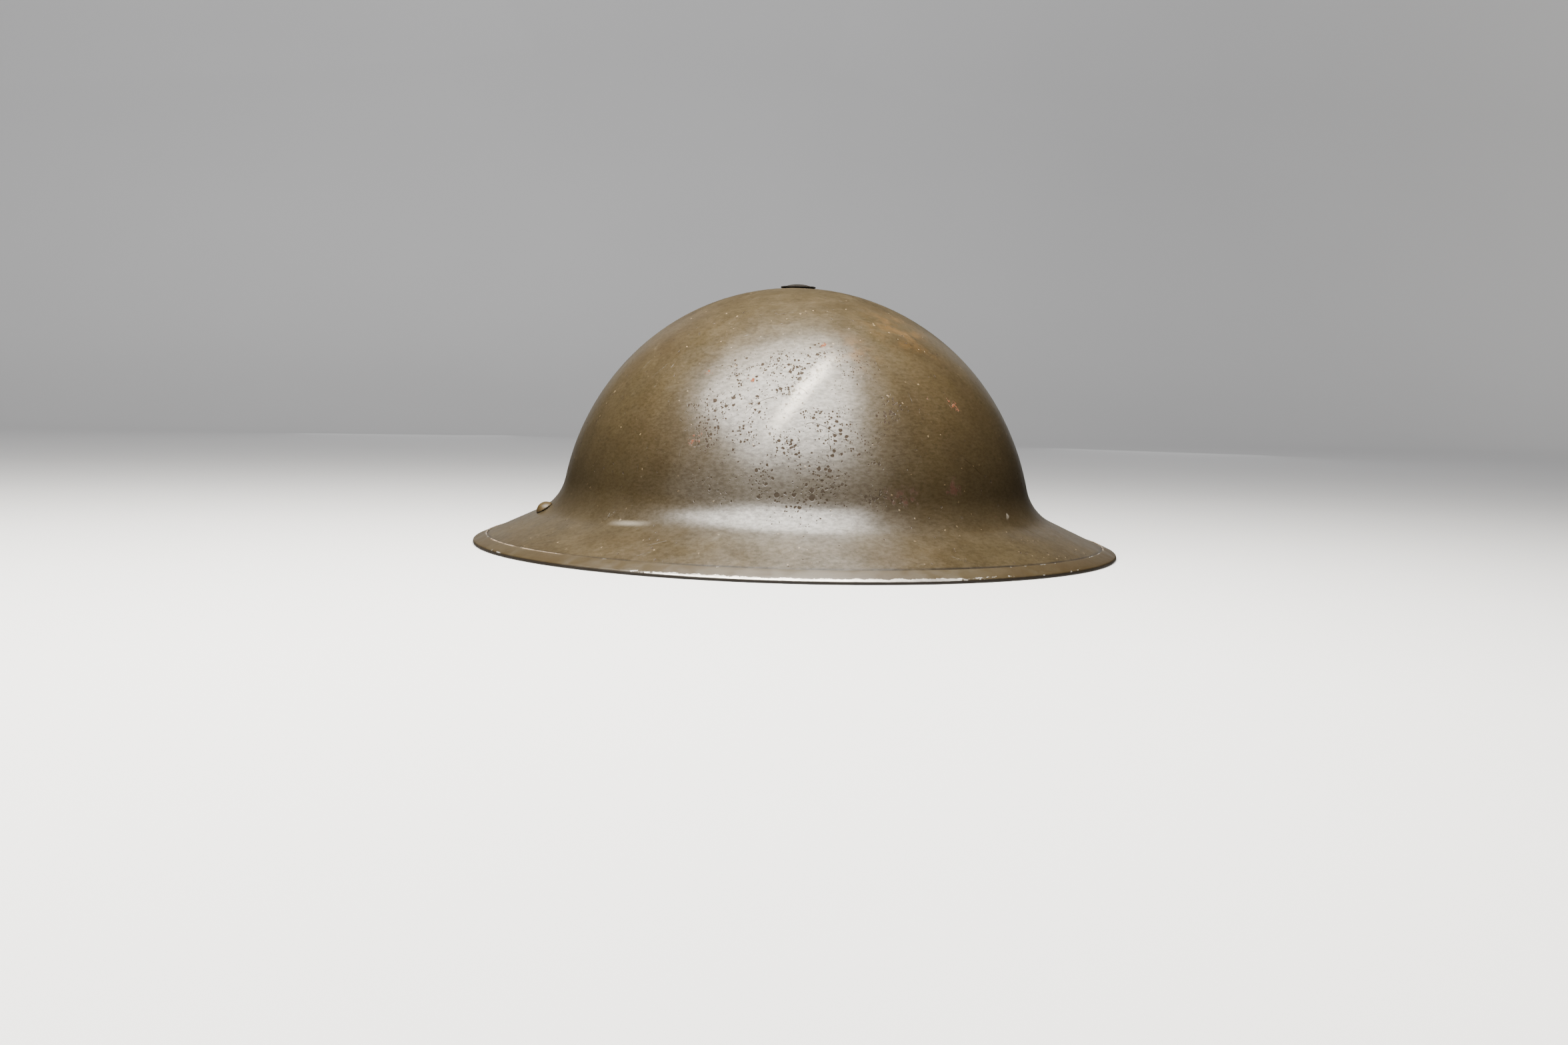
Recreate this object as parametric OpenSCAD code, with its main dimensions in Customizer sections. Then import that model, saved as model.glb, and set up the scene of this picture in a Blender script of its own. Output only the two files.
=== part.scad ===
// Steel helmet with a wide brim, a folded rim band and a bolted-in liner.
// Millimetres, +Z up. The brim rests on Z = 0, the front faces -Y.

/* [Head] */
// Width of the wearer's head inside the sweatband
head_width = 156; // [148:1:164]
// Length of the wearer's head inside the sweatband
head_length = 196; // [186:1:206]

/* [Steel shell] */
// Room between the headband and the bowl's foot at the sides
side_room = 21.6; // [19.6:0.2:25]
// Room between the headband and the bowl's foot at the front and rear
end_room = 17.6; // [16:0.2:21]
// Reach of the brim past the bowl's foot at the sides
side_brim = 38.5; // [35:0.5:43]
// Reach of the brim past the bowl's foot at the front and rear
end_brim = 32.5; // [29.5:0.5:37]
// Height of the steel at the crown above the rest plane
shell_height = 116.5; // [108:0.5:126]
// Height of the widest line that the bowl's curve aims at
bowl_foot = 6.7; // [5:0.1:9]
// Fullness of the bowl's curve, where 2 is an ellipse
bowl_power = 2.02; // [1.95:0.01:2.15]
// Angle up the bowl's curve where the flare begins
flare_start = 11.6; // [9:0.1:14]
// Radius of the flare from the bowl into the brim
flare_radius = 22; // [19:0.5:25]
// Thickness of the shell's sheet
steel = 1.0; // [0.8:0.1:1.4]

/* [Rim band] */
// Thickness of the band folded over the brim's edge
band_steel = 0.45; // [0.3:0.05:0.7]
// Width of the band's flanges from the edge of the sheet
band_width = 6.0; // [4:0.5:9]
// Room between the band and the sheet
band_room = 0.05; // [0.05:0.05:0.2]
// Depth worn flat where the band rests
rest_flat = 0.15; // [0.1:0.05:0.3]
// Butt gap between the band's two ends at the rear
band_gap = 0.6; // [0.3:0.1:1.5]

/* [Crown fixing] */
// Diameter of the crown bolt's domed head
bolt_head_d = 15.8; // [13:0.2:18]
// Height of the head
bolt_head_h = 2.4; // [1.8:0.1:3.2]
// Diameter of the bolt's shank
bolt_d = 4.7; // [4:0.1:6]
// Width of the screwdriver slot
slot_w = 1.5; // [1:0.1:2]
// Depth of the screwdriver slot
slot_deep = 0.9; // [0.6:0.1:1.2]
// Radial room round the shank in each hole
bolt_room = 0.2; // [0.1:0.05:0.4]
// Diameter of the spacing washer under the crown
washer_d = 18; // [16:0.5:22]
// Thickness of the spacing washer
washer_t = 1.6; // [1:0.1:3]
// Diameter of the clamp plate below the crossed straps
plate_d = 26; // [22:0.5:28]
// Thickness of the clamp plate
plate_t = 1.2; // [0.8:0.1:2]
// Nut width across its flats
nut_af = 9; // [8:0.5:11]
// Nut thickness
nut_t = 4.4; // [3:0.1:6]
// Length of bolt that stands through the nut
bolt_tail = 0.6; // [0.2:0.1:1.5]

/* [Liner] */
// Padded thickness of the sweatband
sweat_t = 3.4; // [2.4:0.1:4]
// Turn of the sweatband past each edge of the headband
sweat_over = 2; // [1:0.5:3]
// Thickness of the fibre headband
hoop_t = 1.2; // [0.8:0.1:1.8]
// Height of the headband's strip
hoop_h = 38; // [35:0.5:41]
// Room between the crown strap on the headband and the shell at the front and rear
lap_room = 2.6; // [2:0.2:4]
// Room between the liner's layers
layer_room = 0.3; // [0.2:0.05:0.5]
// Width of each crown strap
strap_w = 25; // [20:1:30]
// Thickness of each crown strap
strap_t = 1.0; // [0.8:0.1:1.4]
// Span of the crown pad's arms from side to side
pad_width = 104; // [94:1:112]
// Span of the crown pad's arms from front to rear
pad_length = 116; // [106:1:124]
// Width of each of the crown pad's arms
pad_arm_w = 33; // [30:1:38]
// Thickness of the crown pad
pad_t = 10; // [9:0.5:12]
// Web of the crown pad held by the clamp plate
pad_web = 1.5; // [1:0.1:2.5]
// Room round the clamp plate in the pad's hollow
pad_room = 1; // [0.5:0.25:2]
// Diameter of the liner rivets' heads
liner_rivet_d = 7; // [5:0.5:9]
// Height of the liner rivets' heads
liner_rivet_h = 1.4; // [1:0.1:1.8]
// Diameter of the liner rivets' shanks
liner_shank_d = 2.6; // [2:0.2:3]
// Distance of the liner rivets from the strap's edges
liner_rivet_edge = 5.75; // [5:0.25:7]

/* [Rubber buffers] */
// Height of the buffers above the headband's lower edge
buffer_up = 3; // [2:0.5:4]
// Height of each buffer
buffer_h = 17; // [14:0.5:19]
// Room between each buffer and the crown strap above it
buffer_gap = 1; // [0.5:0.25:2]
// Wall of each hollow buffer
buffer_wall = 2.6; // [2:0.2:3.2]
// Angle round the bowl that each side buffer covers
side_angle = 34; // [26:1:44]
// Angle round the bowl that the front and rear buffers cover
end_angle = 44; // [34:1:54]

/* [Chin strap lugs] */
// Turn of the flare from the brim's slope up to the lug rivet
lug_turn = 8.8; // [6:0.2:14]
// Diameter of the lug rivet's head
rivet_head_d = 8; // [7:0.2:9.4]
// Height of the lug rivet's head
rivet_head_h = 2.8; // [2:0.1:3.4]
// Diameter of the lug rivet's shank
rivet_d = 4; // [3:0.1:5]
// Diameter of the lug rivet's closed tail
rivet_tail_d = 5.6; // [5.2:0.1:6.4]
// Height of the lug rivet's closed tail
rivet_tail_h = 1; // [0.6:0.1:1.4]
// Width of the lug's strip
lug_w = 11; // [9:0.5:12]
// Thickness of the lug's strip
lug_t = 0.8; // [0.6:0.1:1]
// Distance from the rivet to the bail's pivot
lug_reach = 8.5; // [8:0.25:10]
// Diameter of the bail's wire
wire_d = 2.6; // [2.2:0.1:3]
// Radial running room round the wire in the lug
wire_room = 0.05; // [0.03:0.01:0.08]
// Bail width between its wire centres
bail_w = 27; // [26:0.5:32]
// Drop from the bail's pivot to its lower bar
bail_drop = 12; // [11:0.25:12.5]
// Radius of the bail's corners at the wire's centre
bail_r = 2.6; // [2.2:0.1:3.5]

/* [Chin strap] */
// Width of the webbing
web_w = 19; // [16:0.5:20]
// Thickness of the webbing
web_t = 1.8; // [1.4:0.1:2.2]
// Room between the webbing's loop and the bail's bar
loop_room = 0.3; // [0.2:0.05:0.5]
// Length of the doubled webbing from the bail's bar
tail_len = 26; // [24:0.5:30]
// Length of the crimped metal clip
clip_len = 9; // [7:0.5:11]
// Distance from the clip to the end of the doubled webbing
clip_end = 1.5; // [1:0.25:3]
// Sheet of the clip
clip_t = 0.6; // [0.4:0.1:0.8]
// Room between the clip and the webbing
clip_room = 0.15; // [0.1:0.05:0.3]
// Room between the clip and the sweatband above it
under_room = 4.4; // [3.4:0.2:5.4]
// Distance of the stowed strap inside the sweatband
web_in = 9; // [7:0.5:12]
// Room between the stowed strap and the crown pad
web_hang = 8.1; // [7:0.1:11]

/* [Hidden] */

$fn = 48;
// Azimuths round the shell, and steps along its section
around = 72;
bowl_steps = 14;
flare_steps = 6;
brim_steps = 2;
// Radius of the small ring that closes the shell's section inside the bolt hole
pole_r = 1.2;
// Overshoot of a cut past the faces that it opens
cut = 1;

// Half widths [side, end] from the head outwards: headband, strap on it, bowl's foot, brim
both = [1, 1];
hoop_in = [head_width, head_length] / 2 + (sweat_t + layer_room) * both;
hoop_out = hoop_in + hoop_t * both;
lap_out = hoop_out + (layer_room / 2 + strap_t) * both;
bowl_half = hoop_out + [side_room, end_room] + steel * both;
brim_half = bowl_half + [side_brim, end_brim];

// Half thickness from the sheet's middle to the band's faces
band_in = steel / 2 + band_room;
band_out = band_in + band_steel;
edge_z = band_out - rest_flat;

// Distance from the axis to an ellipse of half axes a and b
function oval(a, b, phi) = 1 / sqrt(pow(cos(phi) / a, 2) + pow(sin(phi) / b, 2));
function bowl_a(phi) = oval(bowl_half[0] - steel / 2, bowl_half[1] - steel / 2, phi);
function edge_a(phi) = oval(brim_half[0] - band_out, brim_half[1] - band_out, phi);
rise = shell_height - steel / 2 - bowl_foot;

// A point of the sheet's middle on the bowl, at angle u up its curve
function bowl_point(w, u) =
    [w * pow(cos(u), 2 / bowl_power), bowl_foot + rise * pow(sin(u), 2 / bowl_power)];
// Fall of the wall below level where the flare begins
function wall_fall(w) =
    let(p = bowl_point(w, flare_start + 0.5), q = bowl_point(w, flare_start))
    atan2(p[1] - q[1], q[0] - p[0]);
function flare_centre(w) =
    bowl_point(w, flare_start) + flare_radius * [sin(wall_fall(w)), cos(wall_fall(w))];
// Fall of the brim, on the tangent from the flare to the edge
function brim_fall(w, e) =
    let(v = [e, edge_z] - flare_centre(w))
    -atan2(v[1], v[0]) - asin(flare_radius / norm(v));
function flare_point(w, d) = flare_centre(w) - flare_radius * [sin(d), cos(d)];

// The section's middle line, crown to edge, as [radius, height, fall]
function section(w, e) =
    let(wf = wall_fall(w), bf = brim_fall(w, e), t = flare_point(w, bf))
    concat(
        [for (i = [0 : bowl_steps - 1])
            let(u = i == 0 ? acos(pole_r / w) : 90 - (90 - flare_start) * i / bowl_steps,
                p = bowl_point(w, u), a = bowl_point(w, u + 0.2), b = bowl_point(w, u - 0.2))
            [p[0], p[1], atan2(a[1] - b[1], b[0] - a[0])]],
        [for (i = [0 : flare_steps])
            let(d = wf + (bf - wf) * i / flare_steps, p = flare_point(w, d)) [p[0], p[1], d]],
        [for (i = [1 : brim_steps])
            let(p = t + ([e, edge_z] - t) * i / brim_steps) [p[0], p[1], bf]]);
// A section point moved square to the sheet, outwards by off
function beside(s, off) = [s[0] + off * sin(s[2]), s[1] + off * cos(s[2])];
function turned(p, phi) = [p[0] * cos(phi), p[0] * sin(phi), p[1]];

// Sections at every azimuth
azimuths = [for (i = [0 : around - 1]) 360 * i / around];
sections = [for (phi = azimuths) section(bowl_a(phi), edge_a(phi))];
stations = len(sections[0]);

// The bowl's inner wall: a share of its width at height z, and the height at such a share
inner_rise = rise - steel / 2;
function other_leg(share) = pow(1 - pow(share, bowl_power), 1 / bowl_power);
function wall_inside(phi, z) =
    (bowl_a(phi) - steel / 2) * other_leg(max(z - bowl_foot, 0) / inner_rise);
function wall_height(share) = bowl_foot + inner_rise * other_leg(share);

// The headband hangs as high as the bowl's front and rear leave room for the strap on it
hoop_top = wall_height((lap_out[1] + lap_room) / (bowl_half[1] - steel));
hoop_low = hoop_top - hoop_h;
buffer_low = hoop_low + buffer_up;
lap_low = buffer_low + buffer_h + buffer_gap;

// Skins a solid over equal closed rings: joined end to end, or capped
module skin(rings, joined = false) {
    n = len(rings);
    m = len(rings[0]);
    last = joined ? n - 1 : n - 2;
    polyhedron(
        points = [for (r = rings) each r],
        faces = concat(
            [for (i = [0 : last]) for (j = [0 : m - 1])
                let(k = (j + 1) % m, next = (i + 1) % n,
                    a = i * m + j, b = i * m + k, c = next * m + j, d = next * m + k)
                each [[a, b, d], [a, d, c]]],
            joined ? [] : [[for (j = [m - 1 : -1 : 0]) j], [for (j = [0 : m - 1]) (n - 1) * m + j]]),
        convexity = 8);
}

// Part of a sphere: a head of diameter d and height h on the plane Z = 0
module domed_head(d, h) {
    r = (pow(d / 2, 2) + h * h) / (2 * h);
    intersection() {
        translate([0, 0, h - r]) sphere(r = r);
        cylinder(d = d, h = h + cut);
    }
}

// Heights of the crown fixing's stack, down from the crown
crown_in = shell_height - steel;
crown_curve = pow(bowl_half[0], 2) / rise;
washer_top = crown_in - pow(washer_d / 2, 2) / (2 * crown_curve) - band_room;
fore_top = washer_top - washer_t;
side_top = fore_top - strap_t;
pad_top = side_top - strap_t - layer_room;
plate_top = pad_top - pad_web;
nut_top = plate_top - plate_t;
bolt_end = nut_top - nut_t - bolt_tail;

module bolt_hole(top, bottom) {
    translate([0, 0, bottom - cut]) cylinder(d = bolt_d + 2 * bolt_room, h = top - bottom + 2 * cut);
}

// Places its children at a side's lug rivet, +X up the slope towards the bowl, +Z out of the steel
lug_slope = brim_fall(bowl_a(0), edge_a(0)) + lug_turn;
lug_at = flare_point(bowl_a(0), lug_slope);
module at_lug(side) {
    mirror([side < 0 ? 1 : 0, 0, 0])
        translate([lug_at[0], 0, lug_at[1]]) rotate([0, lug_slope, 0]) mirror([1, 0, 0]) children();
}
// The lug's seat lies this far below the sheet's middle
lug_seat = steel / 2 + layer_room;
roll_r = wire_d / 2 + wire_room + lug_t;
// Bail pivot and lower bar as [out, up]
pivot_drop = lug_seat + roll_r;
pivot = [lug_at[0] - lug_reach * cos(lug_slope) - pivot_drop * sin(lug_slope),
    lug_at[1] + lug_reach * sin(lug_slope) - pivot_drop * cos(lug_slope)];
bar = pivot - [0, bail_drop];

module shell() {
    color("#5b5541") difference() {
        skin(concat(
            [for (k = [0 : stations - 1]) [for (i = [0 : around - 1])
                turned(beside(sections[i][k], steel / 2), azimuths[i])]],
            [for (k = [stations - 1 : -1 : 0]) [for (i = [0 : around - 1])
                turned(beside(sections[i][k], -steel / 2), azimuths[i])]]));
        bolt_hole(shell_height, crown_in);
        for (side = [-1, 1])
            at_lug(side) cylinder(d = rivet_d + 2 * bolt_room, h = 4 * steel, center = true);
    }
}

// The band's folded profile about the sheet's edge: [along the brim, square to it]
fold_steps = 8;
function fold(r, from, to) = [for (i = [0 : fold_steps])
    let(a = from + (to - from) * i / fold_steps) [r * cos(a), r * sin(a)]];
band_profile = concat([[-band_width, band_in]], fold(band_in, 90, -90), [[-band_width, -band_in]],
    [[-band_width, -band_out]], fold(band_out, -90, 90), [[-band_width, band_out]]);
function band_ring(phi) =
    let(e = edge_a(phi), f = brim_fall(bowl_a(phi), e))
    [for (p = band_profile) turned([
        e + p[0] * cos(f) + p[1] * sin(f),
        max(edge_z - p[0] * sin(f) + p[1] * cos(f), 0)], phi)];
module rim_band() {
    rear = 90;
    half_gap = asin(band_gap / 2 / brim_half[1]);
    whole = [for (i = [1 : around - 1]) azimuths[i]];
    color("#6a6350") skin([for (a = concat([half_gap], whole, [360 - half_gap])) band_ring(rear + a)]);
}

module crown_bolt() {
    color("#2f2d2a") difference() {
        union() {
            translate([0, 0, shell_height]) domed_head(bolt_head_d, bolt_head_h);
            translate([0, 0, bolt_end])
                cylinder(d = bolt_d, h = shell_height - bolt_end + bolt_head_h / 2);
        }
        translate([-bolt_head_d, -slot_w / 2, shell_height + bolt_head_h - slot_deep])
            cube([2 * bolt_head_d, slot_w, slot_deep + cut]);
    }
}

module crown_washer() {
    color("#7a7468") difference() {
        translate([0, 0, fore_top]) cylinder(d = washer_d, h = washer_t);
        bolt_hole(washer_top, fore_top);
    }
}

module clamp_plate() {
    color("#7a7468") difference() {
        translate([0, 0, nut_top]) cylinder(d = plate_d, h = plate_t);
        bolt_hole(plate_top, nut_top);
    }
}

module crown_nut() {
    color("#8a8272") difference() {
        translate([0, 0, nut_top - nut_t]) cylinder(d = nut_af / cos(30), h = nut_t, $fn = 6);
        translate([0, 0, nut_top - nut_t - cut])
            cylinder(d = bolt_d + 2 * band_room, h = nut_t + 2 * cut);
    }
}

// Half of a crown strap's line: flat over the crown, then a curve down onto the headband.
// The shares say how far it stays level and how far it stands upright.
arch_steps = 12;
arch_flat = strap_w / 2 + cut;
level_share = 0.21;
upright_share = 0.16;
function bezier(a, b, c, d, t) =
    pow(1 - t, 3) * a + 3 * pow(1 - t, 2) * t * b + 3 * (1 - t) * t * t * c + pow(t, 3) * d;
function arch_spot(reach, top, off, t) =
    let(level = level_share * (reach - arch_flat), stand = upright_share * (top - hoop_top))
    bezier([arch_flat, top - off], [arch_flat + level - off, top - off],
        [reach - off, hoop_top + stand], [reach - off, hoop_top], t);
function arch_half(reach, top, off) =
    concat([for (i = [0 : arch_steps]) arch_spot(reach, top, off, i / arch_steps)], [[reach - off, lap_low]]);
function backwards(line) = [for (i = [len(line) - 1 : -1 : 0]) line[i]];
function mirrored(line) = [for (p = backwards(line)) [-p[0], p[1]]];

module arch(reach, top) {
    outer = arch_half(reach, top, 0);
    inner = arch_half(reach, top, strap_t);
    rotate([90, 0, 0]) linear_extrude(strap_w, center = true)
        polygon(concat(mirrored(outer), outer, backwards(inner), backwards(mirrored(inner))));
}

// Places its children at each liner rivet of a strap, +Z out of the headband
liner_rivet_y = strap_w / 2 - liner_rivet_edge;
liner_rivet_z = (hoop_top + lap_low) / 2;
module at_strap_ends(reach, across) {
    for (end = [0, 180], s = [-1, 1])
        rotate([0, 0, end + across]) translate([reach, s * liner_rivet_y, liner_rivet_z])
            rotate([0, 90, 0]) children();
}
module at_liner_rivets() {
    at_strap_ends(lap_out[0], 0) children();
    at_strap_ends(lap_out[1], 90) children();
}
module liner_holes() {
    at_liner_rivets()
        cylinder(d = liner_shank_d + 2 * band_room, h = 4 * (strap_t + hoop_t), center = true, $fn = 24);
}

module strap_fore_aft() {
    color("#3b3128") difference() {
        rotate([0, 0, 90]) arch(lap_out[1], fore_top);
        bolt_hole(fore_top, side_top);
        liner_holes();
    }
}

module strap_ear_to_ear() {
    color("#3b3128") difference() {
        arch(lap_out[0], side_top);
        bolt_hole(side_top, pad_top);
        liner_holes();
    }
}

module oval_plan(half) {
    polygon([for (phi = azimuths) oval(half[0], half[1], phi) * [cos(phi), sin(phi)]]);
}

module headband() {
    color("#43372b") difference() {
        translate([0, 0, hoop_low]) linear_extrude(hoop_h) difference() {
            oval_plan(hoop_out);
            oval_plan(hoop_in);
        }
        liner_holes();
    }
}

// The sweatband's bulged section: [inwards from the headband, height]
sweat_steps = 8;
hoop_mid = hoop_low + hoop_h / 2;
sweat_half = hoop_h / 2 + sweat_over;
sweat_section = concat([[-layer_room, hoop_low], [-layer_room, hoop_top]],
    [for (i = [0 : sweat_steps]) let(a = 90 - 180 * i / sweat_steps)
        [-layer_room - sweat_t * pow(cos(a), 0.5), hoop_mid + sweat_half * sin(a)]]);
module sweatband() {
    color("#2f2a22") skin([for (phi = azimuths)
        [for (p = sweat_section) turned([oval(hoop_in[0] + p[0], hoop_in[1] + p[0], phi), p[1]], phi)]],
        joined = true);
}

// The crown pad: two crossed arms with rounded edges, hollowed for the plate and nut
arm_steps = 7;
arm_sides = 12;
// Squareness of an arm's section, share of its thickness lost at its ends, widths of its end rings
arm_round = 0.55;
arm_thin = 0.45;
arm_ends = [0.93, 0.66];
halvings = 14;
// Share t of an arch at which it is x from the middle
function arch_at(reach, top, off, x, lo = 0, hi = 1, n = halvings) =
    let(m = (lo + hi) / 2, far = arch_spot(reach, top, off, m)[0] > x)
    n == 0 ? m : arch_at(reach, top, off, x, far ? lo : m, far ? m : hi, n - 1);
// One side of an arm's upper line, as [out, height, fall]
function arm_line(reach, top, off, x_end) =
    let(te = arch_at(reach, top, off, x_end))
    [for (i = [0 : arm_steps])
        let(t = te * i / arm_steps, p = arch_spot(reach, top, off, t),
            q = arch_spot(reach, top, off, t + 0.01)) [p[0], p[1], atan2(p[1] - q[1], q[0] - p[0])]];
function squared(s) = sign(s) * pow(abs(s), arm_round);
// Ring round an arm, below its upper line: share is its width there
function arm_ring(s, share) =
    let(d = pad_t * (1 - arm_thin * (1 - share)))
    [for (j = [0 : arm_sides - 1])
        let(a = -360 * (j + 0.5) / arm_sides, u = squared(cos(a)) * pad_arm_w / 2 * share,
            v = (squared(sin(a)) - 1) * d / 2)
        [s[0] + v * sin(s[2]), u, s[1] + v * cos(s[2])]];
function arm_share(i) = i < arm_steps - 1 ? 1 : arm_ends[i - arm_steps + 1];
module pad_arm(reach, top, off, x_end) {
    line = arm_line(reach, top, off, x_end);
    skin(concat(
        [for (i = [arm_steps : -1 : 0]) arm_ring([-line[i][0], line[i][1], -line[i][2]], arm_share(i))],
        [for (i = [0 : arm_steps]) arm_ring(line[i], arm_share(i))]));
}
module crown_pad() {
    color("#6b4a35") difference() {
        union() {
            pad_arm(lap_out[0], side_top, strap_t + layer_room, pad_width / 2);
            rotate([0, 0, 90]) pad_arm(lap_out[1], fore_top, 2 * strap_t + layer_room, pad_length / 2);
        }
        bolt_hole(pad_top, plate_top);
        translate([0, 0, pad_top - pad_t - cut])
            cylinder(d = plate_d + 2 * pad_room, h = pad_t - pad_web + cut);
    }
}

// A buffer's ring at azimuth phi: upright on the headband, bulged out to the shell
buffer_sides = 8;
buffer_rings = 7;
buffer_bulge = 0.45;
// Angle by which the hollow runs out past each buffer's ends
open_over = 1;
function buffer_ring(phi, inset) =
    let(r_in = oval(hoop_out[0] + layer_room, hoop_out[1] + layer_room, phi) + inset,
        half = buffer_h / 2 - inset)
    [for (i = [0 : buffer_sides])
        let(a = -90 + 180 * i / buffer_sides, z = buffer_low + buffer_h / 2 + half * sin(a),
            r_out = wall_inside(phi, z) - layer_room - inset)
        turned([r_in + (r_out - r_in) * pow(cos(a), buffer_bulge), z], phi)];
function buffer_rings_over(phi, angle, inset) =
    [for (i = [0 : buffer_rings]) buffer_ring(phi + angle * (i / buffer_rings - 0.5), inset)];
module buffer(phi, angle) {
    color("#4d4a44") difference() {
        skin(buffer_rings_over(phi, angle, 0));
        skin(buffer_rings_over(phi, angle + 2 * open_over, buffer_wall));
    }
}
module buffer_front() { buffer(-90, end_angle); }
module buffer_rear() { buffer(90, end_angle); }
module buffer_left() { buffer(0, side_angle); }
module buffer_right() { buffer(180, side_angle); }

// Eight rivets: a domed head outside, a shank through strap and headband
module liner_rivets() {
    grip = strap_t + layer_room / 2 + hoop_t;
    color("#8a7a55") at_liner_rivets() {
        domed_head(liner_rivet_d, liner_rivet_h, $fn = 24);
        translate([0, 0, -grip]) cylinder(d = liner_shank_d, h = grip + liner_rivet_h / 2, $fn = 24);
    }
}

// A folded strip: two leaves under the rivet and a roll round the bail's wire
module lug(side) {
    leaves = 2 * lug_t;
    color("#5b5541") at_lug(side) difference() {
        union() {
            translate([0, 0, -lug_seat - leaves]) {
                cylinder(d = lug_w, h = leaves);
                translate([0, -lug_w / 2, 0]) cube([lug_reach - roll_r / 2, lug_w, leaves]);
            }
            translate([lug_reach, 0, -pivot_drop]) rotate([90, 0, 0])
                cylinder(r = roll_r, h = lug_w, center = true);
        }
        translate([lug_reach, 0, -pivot_drop]) rotate([90, 0, 0])
            cylinder(r = wire_d / 2 + wire_room, h = lug_w + 2 * cut, center = true);
        cylinder(d = rivet_d + 2 * bolt_room, h = 4 * (lug_seat + lug_t), center = true);
    }
}
module lug_left() { lug(1); }
module lug_right() { lug(-1); }

module lug_rivet(side) {
    head_seat = steel / 2 + pow(rivet_head_d / 2, 2) / (2 * (flare_radius - steel / 2)) + band_room;
    tail_low = -lug_seat - 2 * lug_t - rivet_tail_h;
    color("#665f4b") at_lug(side) {
        translate([0, 0, head_seat]) domed_head(rivet_head_d, rivet_head_h);
        translate([0, 0, tail_low]) {
            cylinder(d = rivet_d, h = head_seat - tail_low + rivet_head_h / 2);
            cylinder(d = rivet_tail_d, h = rivet_tail_h);
        }
    }
}
module lug_rivet_left() { lug_rivet(1); }
module lug_rivet_right() { lug_rivet(-1); }

// A closed rectangle of wire that hangs from the lug's roll
module bail(side) {
    across = bail_w - 2 * bail_r;
    down = bail_drop - 2 * bail_r;
    color("#6f6754") translate([side * pivot[0], 0, pivot[1]]) rotate([90, 0, 90]) {
        for (z = [0, -bail_drop]) translate([0, z, 0]) rotate([0, 90, 0])
            cylinder(d = wire_d, h = across, center = true, $fn = 24);
        for (y = [-bail_w / 2, bail_w / 2]) translate([y, -bail_drop / 2, 0]) rotate([90, 0, 0])
            cylinder(d = wire_d, h = down, center = true, $fn = 24);
        for (sx = [0, 1], sz = [0, 1])
            mirror([sx, 0, 0]) translate([0, -bail_drop / 2, 0]) mirror([0, sz, 0])
                translate([across / 2, down / 2, 0])
                    rotate_extrude(angle = 90, $fn = 24) translate([bail_r, 0]) circle(d = wire_d, $fn = 24);
    }
}
module bail_left() { bail(1); }
module bail_right() { bail(-1); }

// The webbing's tail leaves the bail's bar inwards and passes below the sweatband
loop_in = wire_d / 2 + loop_room;
loop_out = loop_in + web_t;
tail_height = hoop_low - sweat_over - under_room - clip_t - clip_room - web_t;
tail_rise = atan2(tail_height - bar[1], bar[0] - hoop_out[0]);
inward = [-cos(tail_rise), sin(tail_rise)];

// Its middle runs on from the tail, stands up inside the sweatband and arches under the crown pad
web_steps = 10;
web_lead = 7;
web_foot = 17;
web_stand = 0.5;
web_level = 0.54;
web_from = bar + (tail_len + layer_room) * inward;
web_up = [head_width / 2 - web_in, hoop_mid];
web_top = [0, pad_top - pad_t - web_hang - web_t / 2];
web_line = concat(
    [for (i = [0 : web_steps - 1])
        bezier(web_from, web_from + web_lead * inward, web_up - [0, web_foot], web_up, i / web_steps)],
    [for (i = [0 : web_steps])
        bezier(web_up, web_up + [0, web_stand * (web_top[1] - web_up[1])],
            [web_level * web_up[0], web_top[1]], web_top, i / web_steps)]);
function slope_at(line, i) =
    let(a = line[max(i - 1, 0)], b = line[min(i + 1, len(line) - 1)]) atan2(b[1] - a[1], b[0] - a[0]);
function web_side(off) = [for (i = [0 : len(web_line) - 1])
    let(s = i == 0 ? 180 - tail_rise : i == len(web_line) - 1 ? 180 : slope_at(web_line, i))
    web_line[i] + off * [sin(s), -cos(s)]];
// A line from one end to its top, carried on down the other side
function both_sides(line) = concat(line, [for (i = [len(line) - 2 : -1 : 0]) [-line[i][0], line[i][1]]]);
module chin_strap() {
    color("#7c7350") rotate([90, 0, 0]) linear_extrude(web_w, center = true)
        polygon(concat(both_sides(web_side(web_t / 2)), backwards(both_sides(web_side(-web_t / 2)))));
}

// Places its children at a bail's bar, +X along the webbing's tail
module at_tail(side) {
    mirror([side < 0 ? 1 : 0, 0, 0])
        translate([bar[0], 0, bar[1]]) rotate([0, 180 + tail_rise, 0]) children();
}
module strap_loop(side) {
    color("#7c7350") at_tail(side) rotate([90, 0, 0]) linear_extrude(web_w, center = true) difference() {
        union() {
            circle(r = loop_out, $fn = 32);
            translate([0, -web_t]) square([tail_len, 2 * web_t]);
        }
        circle(r = loop_in, $fn = 32);
    }
}
module strap_loop_left() { strap_loop(1); }
module strap_loop_right() { strap_loop(-1); }

module strap_clip(side) {
    hole = [clip_len, web_w + 2 * clip_room, 2 * (web_t + clip_room)];
    color("#8d8873") at_tail(side) translate([tail_len - clip_end - clip_len / 2, 0, 0]) difference() {
        cube(hole + 2 * clip_t * [0, 1, 1], center = true);
        cube(hole + 2 * cut * [1, 0, 0], center = true);
    }
}
module strap_clip_left() { strap_clip(1); }
module strap_clip_right() { strap_clip(-1); }

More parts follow.
